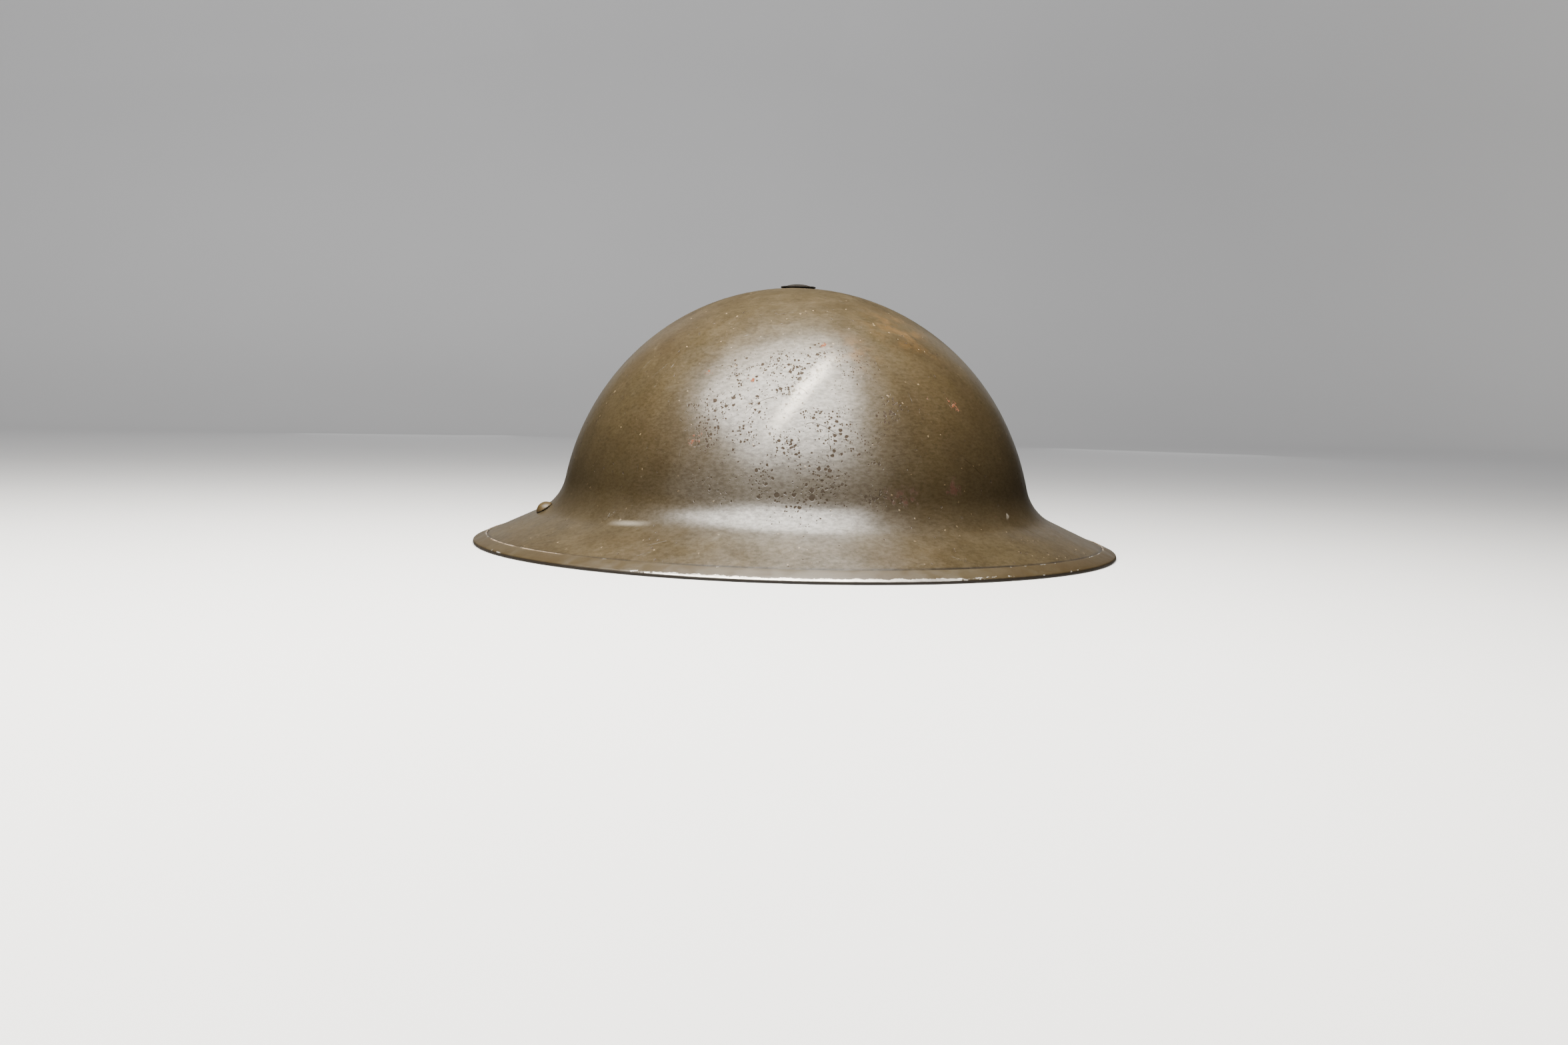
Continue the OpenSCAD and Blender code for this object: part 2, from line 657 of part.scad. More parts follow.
shell();
rim_band();
crown_bolt();
crown_washer();
clamp_plate();
crown_nut();
strap_fore_aft();
strap_ear_to_ear();
crown_pad();
headband();
sweatband();
buffer_front();
buffer_rear();
buffer_left();
buffer_right();
liner_rivets();
lug_left();
lug_right();
lug_rivet_left();
lug_rivet_right();
bail_left();
bail_right();
chin_strap();
strap_loop_left();
strap_loop_right();
strap_clip_left();
strap_clip_right();
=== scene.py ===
"""Steel helmet with a wide brim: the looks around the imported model."""

import math
import random

import bmesh
import bpy
from mathutils import Matrix, Vector


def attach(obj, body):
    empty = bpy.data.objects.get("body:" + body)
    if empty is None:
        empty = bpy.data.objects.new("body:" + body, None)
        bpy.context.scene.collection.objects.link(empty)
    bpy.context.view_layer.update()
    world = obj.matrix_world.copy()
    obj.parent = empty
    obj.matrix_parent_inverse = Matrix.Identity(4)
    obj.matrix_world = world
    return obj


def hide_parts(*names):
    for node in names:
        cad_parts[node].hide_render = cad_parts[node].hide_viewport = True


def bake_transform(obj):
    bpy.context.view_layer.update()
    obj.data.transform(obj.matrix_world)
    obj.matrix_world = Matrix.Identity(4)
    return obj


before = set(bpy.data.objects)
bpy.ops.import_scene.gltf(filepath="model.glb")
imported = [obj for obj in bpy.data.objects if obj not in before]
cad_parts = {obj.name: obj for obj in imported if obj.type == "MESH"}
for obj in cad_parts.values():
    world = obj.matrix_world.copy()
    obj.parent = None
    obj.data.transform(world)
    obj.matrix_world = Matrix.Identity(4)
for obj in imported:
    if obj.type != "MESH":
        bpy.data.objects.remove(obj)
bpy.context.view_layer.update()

MM = 0.001
chance = random.Random(18)


# ---------------------------------------------------------------- camera
SENSOR_WIDTH, LENS, NEAREST_SEEN = 36, 35.56, 0.02
EYE = Vector((-160.22, -690.54, 67.77)) * MM
EYE_RIGHT, EYE_AHEAD = Vector((0.9755, -0.2186, 0.0232)), Vector((0.2198, 0.9721, -0.0816))


def turned_to(first, second, third):
    """The turn that takes X, Y and Z to three directions."""
    return Matrix((first, second, third)).transposed().to_4x4()


def aim_camera():
    """The camera of the front view: a little to the wearer's right and just above the brim."""
    sight = bpy.data.cameras.new("front_view")
    sight.sensor_width, sight.lens, sight.clip_start = SENSOR_WIDTH, LENS, NEAREST_SEEN
    view = bpy.data.objects.new("front_view", sight)
    bpy.context.collection.objects.link(view)
    ahead = EYE_AHEAD.normalized()
    up = EYE_RIGHT.cross(ahead).normalized()
    view.matrix_world = Matrix.Translation(EYE) @ turned_to(ahead.cross(up), up, -ahead)
    bpy.context.scene.camera = view


aim_camera()


# ---------------------------------------------------------------- node helpers
MIX_FIRST, MIX_SECOND, MIX_RESULT = 6, 7, 2  # a Mix node's sockets for colours


def fill(tree, socket, value):
    """Feeds a socket from another one, or sets its number, place or colour."""
    if isinstance(value, bpy.types.NodeSocket):
        tree.links.new(value, socket)
    elif socket.type == "RGBA":
        socket.default_value = (*value, 1)
    else:
        socket.default_value = value


def put(tree, kind, values=None, **settings):
    """Adds a shader node: settings are its options, values its sockets' numbers or the sockets that feed them."""
    node = tree.nodes.new(kind)
    for key, value in settings.items():
        setattr(node, key, value)
    for key, value in (values or {}).items():
        fill(tree, node.inputs[key], value)
    return node


def maths(tree, operation, first, second=0.0, clamp=False):
    return put(tree, "ShaderNodeMath", {0: first, 1: second}, operation=operation, use_clamp=clamp).outputs[0]


def in_turn(tree, operation, values):
    """One operation from value to value."""
    result = values[0]
    for value in values[1:]:
        result = maths(tree, operation, result, value)
    return result


def times(tree, *values):
    return in_turn(tree, "MULTIPLY", values)


def plus(tree, *values):
    return in_turn(tree, "ADD", values)


def less(tree, *values):
    return in_turn(tree, "SUBTRACT", values)


def most(tree, *values):
    return in_turn(tree, "MAXIMUM", values)


def size_of(tree, value):
    """A value without its sign."""
    return maths(tree, "ABSOLUTE", value)


def vectors(tree, operation, first, second=(0, 0, 0)):
    other = "Scale" if operation == "SCALE" else 1
    node = put(tree, "ShaderNodeVectorMath", {0: first, other: second}, operation=operation)
    return node.outputs["Value" if operation in ("LENGTH", "DISTANCE", "DOT_PRODUCT") else "Vector"]


def axes(tree, vector):
    """A vector's X, Y and Z."""
    return put(tree, "ShaderNodeSeparateXYZ", {0: vector}).outputs


def facing_up(tree):
    return axes(tree, put(tree, "ShaderNodeNewGeometry").outputs["Normal"])[2]


def mixed(tree, amount, first, second, how="MIX"):
    """Colour first turning into second."""
    return put(tree, "ShaderNodeMix", {"Factor": amount, MIX_FIRST: first, MIX_SECOND: second},
               data_type="RGBA", blend_type=how).outputs[MIX_RESULT]


def layered(tree, colour, layers):
    """A colour with others laid over it in turn, each by its mask."""
    for mask, over in layers:
        colour = mixed(tree, mask, colour, over)
    return colour


def between(tree, value, low, high, to_low=0.0, to_high=1.0):
    """A value's smooth run from low to high, as to_low to to_high."""
    return put(tree, "ShaderNodeMapRange", {"Value": value, "From Min": low, "From Max": high,
                                            "To Min": to_low, "To Max": to_high},
               interpolation_type="SMOOTHSTEP", clamp=True).outputs[0]


def noise(tree, where, scale, detail=3.0, rough=0.55):
    return put(tree, "ShaderNodeTexNoise", {"Vector": where, "Scale": scale, "Detail": detail,
                                            "Roughness": rough}).outputs["Fac"]


def stretched(tree, where, scale, turn=(0, 0, 0), move=(0, 0, 0)):
    return put(tree, "ShaderNodeMapping", {"Vector": where, "Location": move, "Rotation": turn,
                                           "Scale": scale}).outputs[0]


def wavering(tree, where, scale, detail, reach):
    """Coordinates pushed about by a noise, so that no outline on them is even."""
    push = put(tree, "ShaderNodeTexNoise", {"Vector": where, "Scale": scale, "Detail": detail}).outputs["Color"]
    return vectors(tree, "ADD", where, vectors(tree, "SCALE", push, reach))


def thin_line(tree, away, width):
    """1 where away is 0, falling to 0 at the width."""
    return less(tree, 1.0, maths(tree, "DIVIDE", away, width, clamp=True))


def effect(name, inputs, output):
    """An empty group: inputs are (name, kind, value), output is (name, kind)."""
    tree = bpy.data.node_groups.new(name, "ShaderNodeTree")
    for label, kind, value in inputs:
        socket = tree.interface.new_socket(label, in_out="INPUT", socket_type="NodeSocket" + kind)
        if kind != "Vector":
            socket.default_value = value
    tree.interface.new_socket(output[0], in_out="OUTPUT", socket_type="NodeSocket" + output[1])
    return tree, tree.nodes.new("NodeGroupInput").outputs, tree.nodes.new("NodeGroupOutput").inputs


def use(tree, group, **values):
    """Places a shared effect with its own values."""
    node = tree.nodes.new("ShaderNodeGroup")
    node.node_tree = group
    for key, value in values.items():
        fill(tree, node.inputs[key], value)
    return node.outputs[0]


# ---------------------------------------------------------------- shared effects
ANY_COLOUR = (0.2, 0.2, 0.2, 1)


def make_specks():
    """Separate small spots of many sizes: pits, rust spots, grit."""
    tree, given, out = effect("specks", [("Vector", "Vector", 0), ("Scale", "Float", 300.0), ("Amount", "Float", 0.3),
                                         ("Softness", "Float", 0.1)], ("Mask", "Float"))
    bent = wavering(tree, given["Vector"], 900.0, 1.0, 0.0008)
    cells = put(tree, "ShaderNodeTexVoronoi", {"Vector": bent, "Scale": given["Scale"]})
    luck = put(tree, "ShaderNodeSeparateColor", {"Color": cells.outputs["Color"]}).outputs[0]
    reach = times(tree, maths(tree, "POWER", luck, 3.0), given["Amount"])
    gap = less(tree, reach, cells.outputs["Distance"])
    fill(tree, out[0], maths(tree, "DIVIDE", gap, given["Softness"], clamp=True))
    return tree


def make_scratches():
    """Hairlines: broken pieces of the level lines of two slow noises."""
    tree, given, out = effect("scratches", [("Vector", "Vector", 0), ("Scale", "Float", 40.0),
                                            ("Width", "Float", 0.004), ("Amount", "Float", 0.5)], ("Mask", "Float"))
    lines = []
    for turn, seed in (((0.4, 0.3, 0.9), 0.0), ((1.1, -0.5, 0.2), 3.7)):
        drawn = stretched(tree, given["Vector"], (1.0, 2.6, 0.45), turn, (seed, seed, 0))
        level = size_of(tree, less(tree, noise(tree, drawn, given["Scale"], 1.0), 0.5))
        kept = between(tree, plus(tree, noise(tree, drawn, 70.0, 2.0), given["Amount"]), 1.0, 1.06)
        lines.append(times(tree, thin_line(tree, level, given["Width"]), kept))
    fill(tree, out[0], most(tree, *lines))
    return tree


def make_cracks():
    """A fine broken net of cracks, as old rubber and varnish get."""
    tree, given, out = effect("cracks", [("Vector", "Vector", 0), ("Scale", "Float", 400.0), ("Width", "Float", 0.02),
                                         ("Amount", "Float", 0.45)], ("Mask", "Float"))
    bent = wavering(tree, given["Vector"], 260.0, 2.0, 0.003)
    edges = put(tree, "ShaderNodeTexVoronoi", {"Vector": bent, "Scale": given["Scale"]}, feature="DISTANCE_TO_EDGE")
    kept = between(tree, plus(tree, noise(tree, given["Vector"], 90.0, 3.0), given["Amount"]), 1.0, 1.15)
    fill(tree, out[0], times(tree, thin_line(tree, edges.outputs["Distance"], given["Width"]), kept))
    return tree


def make_chips():
    """Ragged patches where the finish has gone, denser where Where is high."""
    tree, given, out = effect("chips", [("Vector", "Vector", 0), ("Scale", "Float", 90.0), ("Where", "Float", 0.5),
                                        ("Edge", "Float", 0.04)], ("Mask", "Float"))
    ragged = noise(tree, given["Vector"], given["Scale"], 7.0, 0.7)
    over = less(tree, plus(tree, ragged, given["Where"]), 1.0)
    fill(tree, out[0], maths(tree, "DIVIDE", over, given["Edge"], clamp=True))
    return tree


def make_tones():
    """Slow and fine changes of tone in one colour."""
    tree, given, out = effect("tones", [("Vector", "Vector", 0), ("Colour", "Color", ANY_COLOUR),
                                        ("Other", "Color", ANY_COLOUR), ("Scale", "Float", 20.0),
                                        ("Depth", "Float", 0.3)], ("Colour", "Color"))
    slow = between(tree, noise(tree, given["Vector"], given["Scale"], 5.0, 0.62), 0.28, 0.72)
    fine = noise(tree, vectors(tree, "SCALE", given["Vector"], 14.0), given["Scale"], 4.0, 0.7)
    shade = plus(tree, less(tree, 1.0, times(tree, given["Depth"], 0.5)), times(tree, fine, given["Depth"]))
    grey = put(tree, "ShaderNodeCombineColor", {0: shade, 1: shade, 2: shade}).outputs[0]
    fill(tree, out[0], mixed(tree, 1.0, mixed(tree, slow, given["Colour"], given["Other"]), grey, "MULTIPLY"))
    return tree


def make_settled_dust():
    """Dust on what faces up, in a broken film."""
    tree, given, out = effect("settled_dust", [("Vector", "Vector", 0), ("Scale", "Float", 60.0),
                                               ("Amount", "Float", 0.4)], ("Mask", "Float"))
    film = between(tree, noise(tree, given["Vector"], given["Scale"], 2.5, 0.5), 0.25, 0.8)
    fill(tree, out[0], times(tree, film, between(tree, facing_up(tree), 0.2, 1.0), given["Amount"]))
    return tree


SPECKS, SCRATCHES, CRACKS, CHIPS = make_specks(), make_scratches(), make_cracks(), make_chips()
TONES, DUST = make_tones(), make_settled_dust()


# ---------------------------------------------------------------- finish helpers
def feed(tree, shader, **values):
    """Sets or feeds the shader's sockets, each named with _ for a space."""
    for key, value in values.items():
        fill(tree, shader[key.replace("_", " ")], value)


def begin(name, **sockets):
    """A material, its tree, its Principled shader's sockets and the object's own coordinates."""
    finish = bpy.data.materials.new(name)
    finish.use_nodes = True
    tree = finish.node_tree
    tree.nodes.clear()
    shader = tree.nodes.new("ShaderNodeBsdfPrincipled")
    feed(tree, shader.inputs, **sockets)
    tree.links.new(shader.outputs[0], tree.nodes.new("ShaderNodeOutputMaterial").inputs["Surface"])
    return finish, tree, shader.inputs, tree.nodes.new("ShaderNodeTexCoord").outputs["Object"]


def bump(tree, height, distance, strength=1.0, under=None):
    values = {"Height": height, "Distance": distance, "Strength": strength}
    if under is not None:
        values["Normal"] = under
    return put(tree, "ShaderNodeBump", values).outputs[0]


def shaded(colour, amount):
    """A colour made darker or lighter."""
    return tuple(part * amount for part in colour)


def spots(tree, where, rows):
    """1 at each row's place, fading to 0 at its reach, in millimetres. A row may end with a stretch for each axis."""
    found = []
    for place, reach, *stretch in rows:
        away = vectors(tree, "SUBTRACT", where, tuple(c * MM for c in place))
        away = vectors(tree, "LENGTH", vectors(tree, "MULTIPLY", away, stretch[0] if stretch else (1, 1, 1)))
        found.append(between(tree, away, 0.0, reach * MM, 1.0, 0.0))
    return most(tree, *found)


def streaks(tree, where, rows):
    """1 on each row's line from start to end, fading to 0 at half its width away, in millimetres."""
    found = []
    for start, end, width in rows:
        start, run = Vector(start) * MM, Vector(end) * MM - Vector(start) * MM
        from_start = vectors(tree, "SUBTRACT", where, tuple(start))
        covered = vectors(tree, "DOT_PRODUCT", from_start, tuple(run))
        nearest = vectors(tree, "SCALE", tuple(run), maths(tree, "DIVIDE", covered, run.length_squared, clamp=True))
        found.append(between(tree, vectors(tree, "DISTANCE", from_start, nearest), 0.0, width * MM / 2, 1.0, 0.0))
    return most(tree, *found)


def inward_of(tree, x, y):
    """How far in from the brim's oval edge a point lies, as a share of the way to the middle."""
    plan = put(tree, "ShaderNodeCombineXYZ", {0: maths(tree, "DIVIDE", x, RIM_HALF[0]),
                                              1: maths(tree, "DIVIDE", y, RIM_HALF[1]), 2: 0.0}).outputs[0]
    return less(tree, 1.0, vectors(tree, "LENGTH", plan))


# ---------------------------------------------------------------- the shell's paint
OLIVE, BROWN, RUST, BARE = (0.037, 0.0270, 0.0117), (0.032, 0.0208, 0.0080), (0.15, 0.045, 0.018), (0.62, 0.59, 0.54)
LIGHT_GRAIN, TAN_DUST_AND_TOP_LIGHT, WARM_TINT = (0.095, 0.072, 0.040), (0.15, 0.110, 0.058), (0.125, 0.068, 0.022)
PIT_BROWN, GRIT_TAN, DRIED_BROWN = (0.024, 0.015, 0.010), (0.24, 0.175, 0.10), (0.055, 0.016, 0.010)
MARK_DARK, PALE_SCUFF_AND_HIGHLIGHT, LOWER_SHADE_DARK = (0.018, 0.012, 0.008), (0.56, 0.51, 0.43), (0.016, 0.011, 0.005)
STEP_DUST_AND_SHADE_DARK, RIM_UNDER_SHADE, RIM_TAN = (0.012, 0.009, 0.006), (0.012, 0.009, 0.007), (0.34, 0.25, 0.17)
PAINT_IOR = 1.58
RIM_HALF = (0.144, 0.154)

# Places are in millimetres, each with its reach or width.
FRONT_WEAR, LOWER_WEAR = ((-24, -103, 58), 74, (0.85, 1, 1)), ((4, -117, 36), 36, (0.7, 1, 1))
WARM_PLACES = ((3, -84, 86), 17), ((30, -60, 95), 26), ((-70, 60, 70), 40)
RUST_PLACES = (((46, -89, 66), 15), ((-54, -72, 76), 9), ((-7, -81, 89), 11), ((60, -98, 20), 14), ((-38, -86, 74), 9),
               ((33, -92, 68), 9), ((-60, -86, 50), 12), ((70, 60, 70), 26), ((-80, 30, 62), 18), ((-20, 108, 50), 30),
               ((30, 20, 112), 18), ((100, 10, 40), 16))
DRIED_PLACES = ((16, -117, 30), 15, (0.6, 1, 1)), ((40, -108, 33), 14, (0.7, 1, 1))
DARK_MARKS = (((47, -101, 44), (55, -98, 38), 1.3), ((13, -113, 45), (22, -112, 47.5), 1.2),
              ((41, -97, 60), (49, -88, 66), 1.0))
CREASE, CREASE_MIDDLE = ((-5, -87, 84), (-35, -104.5, 52), 11.0), ((-18, -96, 69), 30)
PALE_SCUFFS = ((64, -101, 15), (68, -94, 21), 2.8), ((69, -98.5, 15.5), (64, -97.5, 19.5), 2.2)
# The painted highlight on the flare, front and to the wearer's right: its middle and reach, and the level and tilt of
# its streak.
PAINTED_HIGHLIGHT_PLACE, PAINTED_HIGHLIGHT_LEVEL, PAINTED_HIGHLIGHT_TILT = ((-84.5, -81.5, 16.3), 14), 0.0218, 0.066
PIT_SIZES = (1250.0, 0.70, 0.10), (660.0, 0.60, 0.08), (310.0, 0.42, 0.06)  # each the specks' scale, amount, softness


def paint_pits(tree, where):
    """Masks of the dark pits, which gather at the front, and of the pale grit."""
    worn = most(tree, spots(tree, where, [FRONT_WEAR]), times(tree, spots(tree, where, [LOWER_WEAR]), 0.6))
    clusters = times(tree, between(tree, worn, 0.12, 0.62),
                     between(tree, noise(tree, where, 75.0, 3.0), 0.34, 0.6, 0.25, 1.0))
    pits = [use(tree, SPECKS, Vector=where, Scale=scale, Amount=times(tree, clusters, amount), Softness=softness)
            for scale, amount, softness in PIT_SIZES]
    dark_grit = use(tree, SPECKS, Vector=vectors(tree, "SCALE", where, 1.13), Scale=290.0, Amount=0.22, Softness=0.09)
    grit = use(tree, SPECKS, Vector=where, Scale=330.0, Amount=0.20, Softness=0.08)
    return most(tree, *pits, dark_grit), grit


def paint_spots(tree, where):
    """Masks of the rust spots and of the dark spots that have dried on."""
    rusty, dried = spots(tree, where, RUST_PLACES), spots(tree, where, DRIED_PLACES)
    return (use(tree, CHIPS, Vector=where, Scale=460.0, Where=times(tree, rusty, 0.50), Edge=0.06),
            use(tree, CHIPS, Vector=where, Scale=260.0, Where=times(tree, dried, 0.58), Edge=0.12))


def paint_marks(tree, where, x, height):
    """Masks of the dark scratches, of the shallow crease, and of the pale scuffs together with the painted highlights
    on the crease and on the flare.
    """
    hairs = use(tree, SCRATCHES, Vector=stretched(tree, where, (1.0, 1.0, 0.35), (0.5, 0.7, 0.3)), Scale=26.0,
                Width=0.0022, Amount=0.40)
    crease = times(tree, streaks(tree, where, [CREASE]), spots(tree, where, [CREASE_MIDDLE]))
    broken = between(tree, noise(tree, where, 260.0, 4.0, 0.7), 0.25, 0.55)
    # The crease is painted pale as a painted highlight, where its ridge catches the light; the scuffs beside it are
    # real wear.
    scuffs_and_painted_highlights = times(tree, most(tree, streaks(tree, where, PALE_SCUFFS), crease), broken)
    # A painted highlight: a soft pale streak along the flare where it reflects the light.
    level = less(tree, height, times(tree, x, PAINTED_HIGHLIGHT_TILT), PAINTED_HIGHLIGHT_LEVEL)
    rubbed = times(tree, between(tree, size_of(tree, level), 0.0, 0.0014, 0.34, 0.0),
                   spots(tree, where, [PAINTED_HIGHLIGHT_PLACE]))
    return most(tree, hairs, streaks(tree, where, DARK_MARKS)), crease, most(tree, scuffs_and_painted_highlights, rubbed)


def olive_paint():
    """The shell's aged semi-gloss paint: worn and pitted at the front, rust spots, scratches, dust. Painted light in
    its colour as well: shade on the lower bowl and at the band's step, highlights on the crease and the flare, and a
    lighter top.
    """
    finish, tree, shader, where = begin("olive_paint", IOR=PAINT_IOR)
    x, y, height = axes(tree, where)
    grain = noise(tree, stretched(tree, where, (1, 1, 2.3)), 430.0, 6.0, 0.72)
    # Settled dust on what faces up, which also serves as painted light: it lightens the top of the bowl.
    film = use(tree, DUST, Vector=where, Scale=80.0, Amount=0.115)
    holes, grit = paint_pits(tree, where)
    rust, dried = paint_spots(tree, where)
    marks, crease, scuffs_and_painted_highlights = paint_marks(tree, where, x, height)
    warm = times(tree, spots(tree, where, WARM_PLACES),
                 between(tree, noise(tree, where, 140.0, 4.0, 0.6), 0.4, 0.65), 0.45)
    # Painted shade: the bowl's colour is darkened towards its lower flanks, and less on the brim, where less light
    # falls.
    lower_shade_height = plus(tree, height, times(tree, noise(tree, where, 26.0, 5.0), 0.02))
    lower_bowl_shade = times(tree, between(tree, lower_shade_height, 0.030, 0.085, 0.58, 0.0),
                  between(tree, height, 0.010, 0.020, 0.35, 1.0))
    inward = inward_of(tree, x, y)
    # Dust and painted shade: a dark line on the shell just inside the band's upper edge, at the step.
    step_dust_and_shade = times(tree, between(tree, inward, 0.040, 0.0435), between(tree, inward, 0.0455, 0.052, 1.0, 0.0),
                 between(tree, noise(tree, where, 90.0, 4.0), 0.3, 0.6, 0.35, 0.95))
    base = use(tree, TONES, Vector=where, Colour=OLIVE, Other=BROWN, Scale=14.0, Depth=0.3)
    paint = layered(tree, base, (
        (between(tree, noise(tree, where, 52.0, 2.5, 0.5), 0.35, 0.7, 0.0, 0.4), shaded(OLIVE, 1.35)),
        (between(tree, grain, 0.46, 0.72, 0.0, 0.85), shaded(OLIVE, 0.5)),
        (between(tree, grain, 0.46, 0.24, 0.0, 0.42), LIGHT_GRAIN),
        (film, TAN_DUST_AND_TOP_LIGHT), (warm, WARM_TINT), (times(tree, holes, 0.85), PIT_BROWN), (times(tree, grit, 0.75), GRIT_TAN),
        (rust, RUST), (times(tree, dried, 0.8), DRIED_BROWN), (times(tree, marks, 0.5), MARK_DARK),
        (scuffs_and_painted_highlights, PALE_SCUFF_AND_HIGHLIGHT), (lower_bowl_shade, LOWER_SHADE_DARK), (step_dust_and_shade, STEP_DUST_AND_SHADE_DARK)))
    gloss = plus(tree, between(tree, noise(tree, where, 130.0, 6.0, 0.7), 0.3, 0.7, 0.285, 0.35),
                 times(tree, most(tree, holes, rust, dried), 0.45))
    dull = most(tree, holes, marks, rust, dried)
    shine = times(tree, between(tree, grain, 0.36, 0.64, 0.64, 0.36), between(tree, height, 0.009, 0.015, 0.78, 1.0),
                  between(tree, dull, 0.0, 1.0, 1.0, 0.3))
    relief = less(tree, times(tree, noise(tree, where, 420.0, 4.0, 0.65), 0.09),
                  times(tree, plus(tree, holes, marks), 0.45))
    relief = plus(tree, relief, times(tree, plus(tree, grit, rust), 0.3))
    dents = bump(tree, noise(tree, where, 24.0, 3.0), 0.0011, 0.6)
    creased = bump(tree, crease, 0.0003, 0.45, dents)
    feed(tree, shader, Base_Color=paint, Roughness=maths(tree, "ADD", gloss, times(tree, film, 0.5), clamp=True),
         Specular_IOR_Level=shine, Normal=bump(tree, relief, 0.0002, 0.8, creased))
    return finish


def rim_paint():
    """The same paint on the thin band, chipped to bare steel along its lower edge at the front, with painted shade
    along its lowest edge.
    """
    finish, tree, shader, where = begin("rim_paint", IOR=PAINT_IOR)
    x, y, height = axes(tree, where)
    inward = inward_of(tree, x, y)
    front = between(tree, y, -0.105, -0.140)
    middle = less(tree, 1.0, between(tree, size_of(tree, plus(tree, x, 0.038)), 0.035, 0.115))
    uneven = plus(tree, height, times(tree, noise(tree, where, 210.0, 5.0, 0.7), 0.0022))
    low = times(tree, between(tree, uneven, 0.0036, 0.0029), between(tree, height, 0.0010, 0.0013))
    bare = use(tree, CHIPS, Vector=stretched(tree, where, (1, 1, 2.0)), Scale=105.0, Edge=0.03,
               Where=times(tree, low, plus(tree, 0.385, times(tree, front, middle, 0.32))))
    top_edge = between(tree, inward, 0.032, 0.041)
    nicks = use(tree, CHIPS, Vector=where, Scale=190.0, Edge=0.03, Where=plus(tree, 0.27, times(tree, top_edge, 0.18)))
    gone = most(tree, bare, nicks)
    ends = times(tree, between(tree, size_of(tree, x), 0.100, 0.128), between(tree, facing_up(tree), 0.0, 0.3))
    line = times(tree, between(tree, inward, 0.036, 0.040),
                 between(tree, noise(tree, where, 120.0, 5.0, 0.7), 0.40, 0.56))
    steel = use(tree, TONES, Vector=where, Colour=BARE, Other=(0.34, 0.31, 0.28), Scale=160.0, Depth=0.5)
    base = use(tree, TONES, Vector=where, Colour=OLIVE, Other=BROWN, Scale=22.0, Depth=0.4)
    # Painted shade: the band is darkened along its lowest edge, which lies in shade.
    paint = layered(tree, base, ((times(tree, between(tree, height, 0.0016, 0.0010), 0.85), RIM_UNDER_SHADE),
                                 (times(tree, line, ends, 0.7), RIM_TAN), (gone, steel)))
    relief = less(tree, times(tree, noise(tree, where, 380.0, 4.0), 0.3), gone)
    feed(tree, shader, Base_Color=paint, Metallic=times(tree, gone, 0.75),
         Roughness=between(tree, noise(tree, where, 150.0, 5.0), 0.25, 0.8, 0.3, 0.48),
         Normal=bump(tree, relief, 0.0001, 0.8))
    return finish


# ---------------------------------------------------------------- the other finishes
def metal(name, colour, other, worn, rough, metallic, scale, where_worn, gleam=0.5):
    """Old metal or paint over metal: tones, worn patches of another colour, pits. metallic is (whole, worn)."""
    finish, tree, shader, where = begin(name, Specular_IOR_Level=gleam)
    tone = use(tree, TONES, Vector=where, Colour=colour, Other=other, Scale=scale, Depth=0.5)
    rubbed = use(tree, CHIPS, Vector=where, Scale=scale * 3, Where=where_worn, Edge=0.08)
    pits = use(tree, SPECKS, Vector=where, Scale=900.0, Amount=0.5, Softness=0.1)
    relief = less(tree, noise(tree, where, scale * 8, 4.0), plus(tree, pits, times(tree, rubbed, 0.5)))
    feed(tree, shader,
         Base_Color=layered(tree, tone, ((rubbed, worn), (times(tree, pits, 0.7), shaded(colour, 0.3)))),
         Metallic=between(tree, rubbed, 0, 1, *metallic),
         Roughness=between(tree, noise(tree, where, scale * 4, 5.0), 0.25, 0.8, rough - 0.08, rough + 0.12),
         Normal=bump(tree, relief, 0.00006, 0.8))
    return finish


def fibre_board():
    """Hard dark fibre: flecked, a little shiny where it is handled."""
    finish, tree, shader, where = begin("fibre_board")
    tone = use(tree, TONES, Vector=where, Colour=(0.075, 0.048, 0.030), Other=(0.115, 0.074, 0.044), Scale=34.0,
               Depth=0.5)
    fleck = noise(tree, stretched(tree, where, (900, 900, 240)), 1.0, 3.0, 0.6)
    marks = use(tree, SCRATCHES, Vector=where, Scale=34.0, Width=0.006, Amount=0.5)
    feed(tree, shader,
         Base_Color=layered(tree, tone, ((between(tree, fleck, 0.55, 0.75, 0.0, 0.4), (0.20, 0.14, 0.085)),
                                         (times(tree, marks, 0.4), (0.22, 0.16, 0.10)))),
         Roughness=between(tree, noise(tree, where, 60.0, 4.0), 0.3, 0.75, 0.42, 0.62),
         Normal=bump(tree, less(tree, fleck, marks), 0.00012, 0.6))
    return finish


def across_and_along(tree):
    """The piece's own UV map: across it and along it, in metres."""
    return axes(tree, tree.nodes.new("ShaderNodeUVMap").outputs[0])[:2]


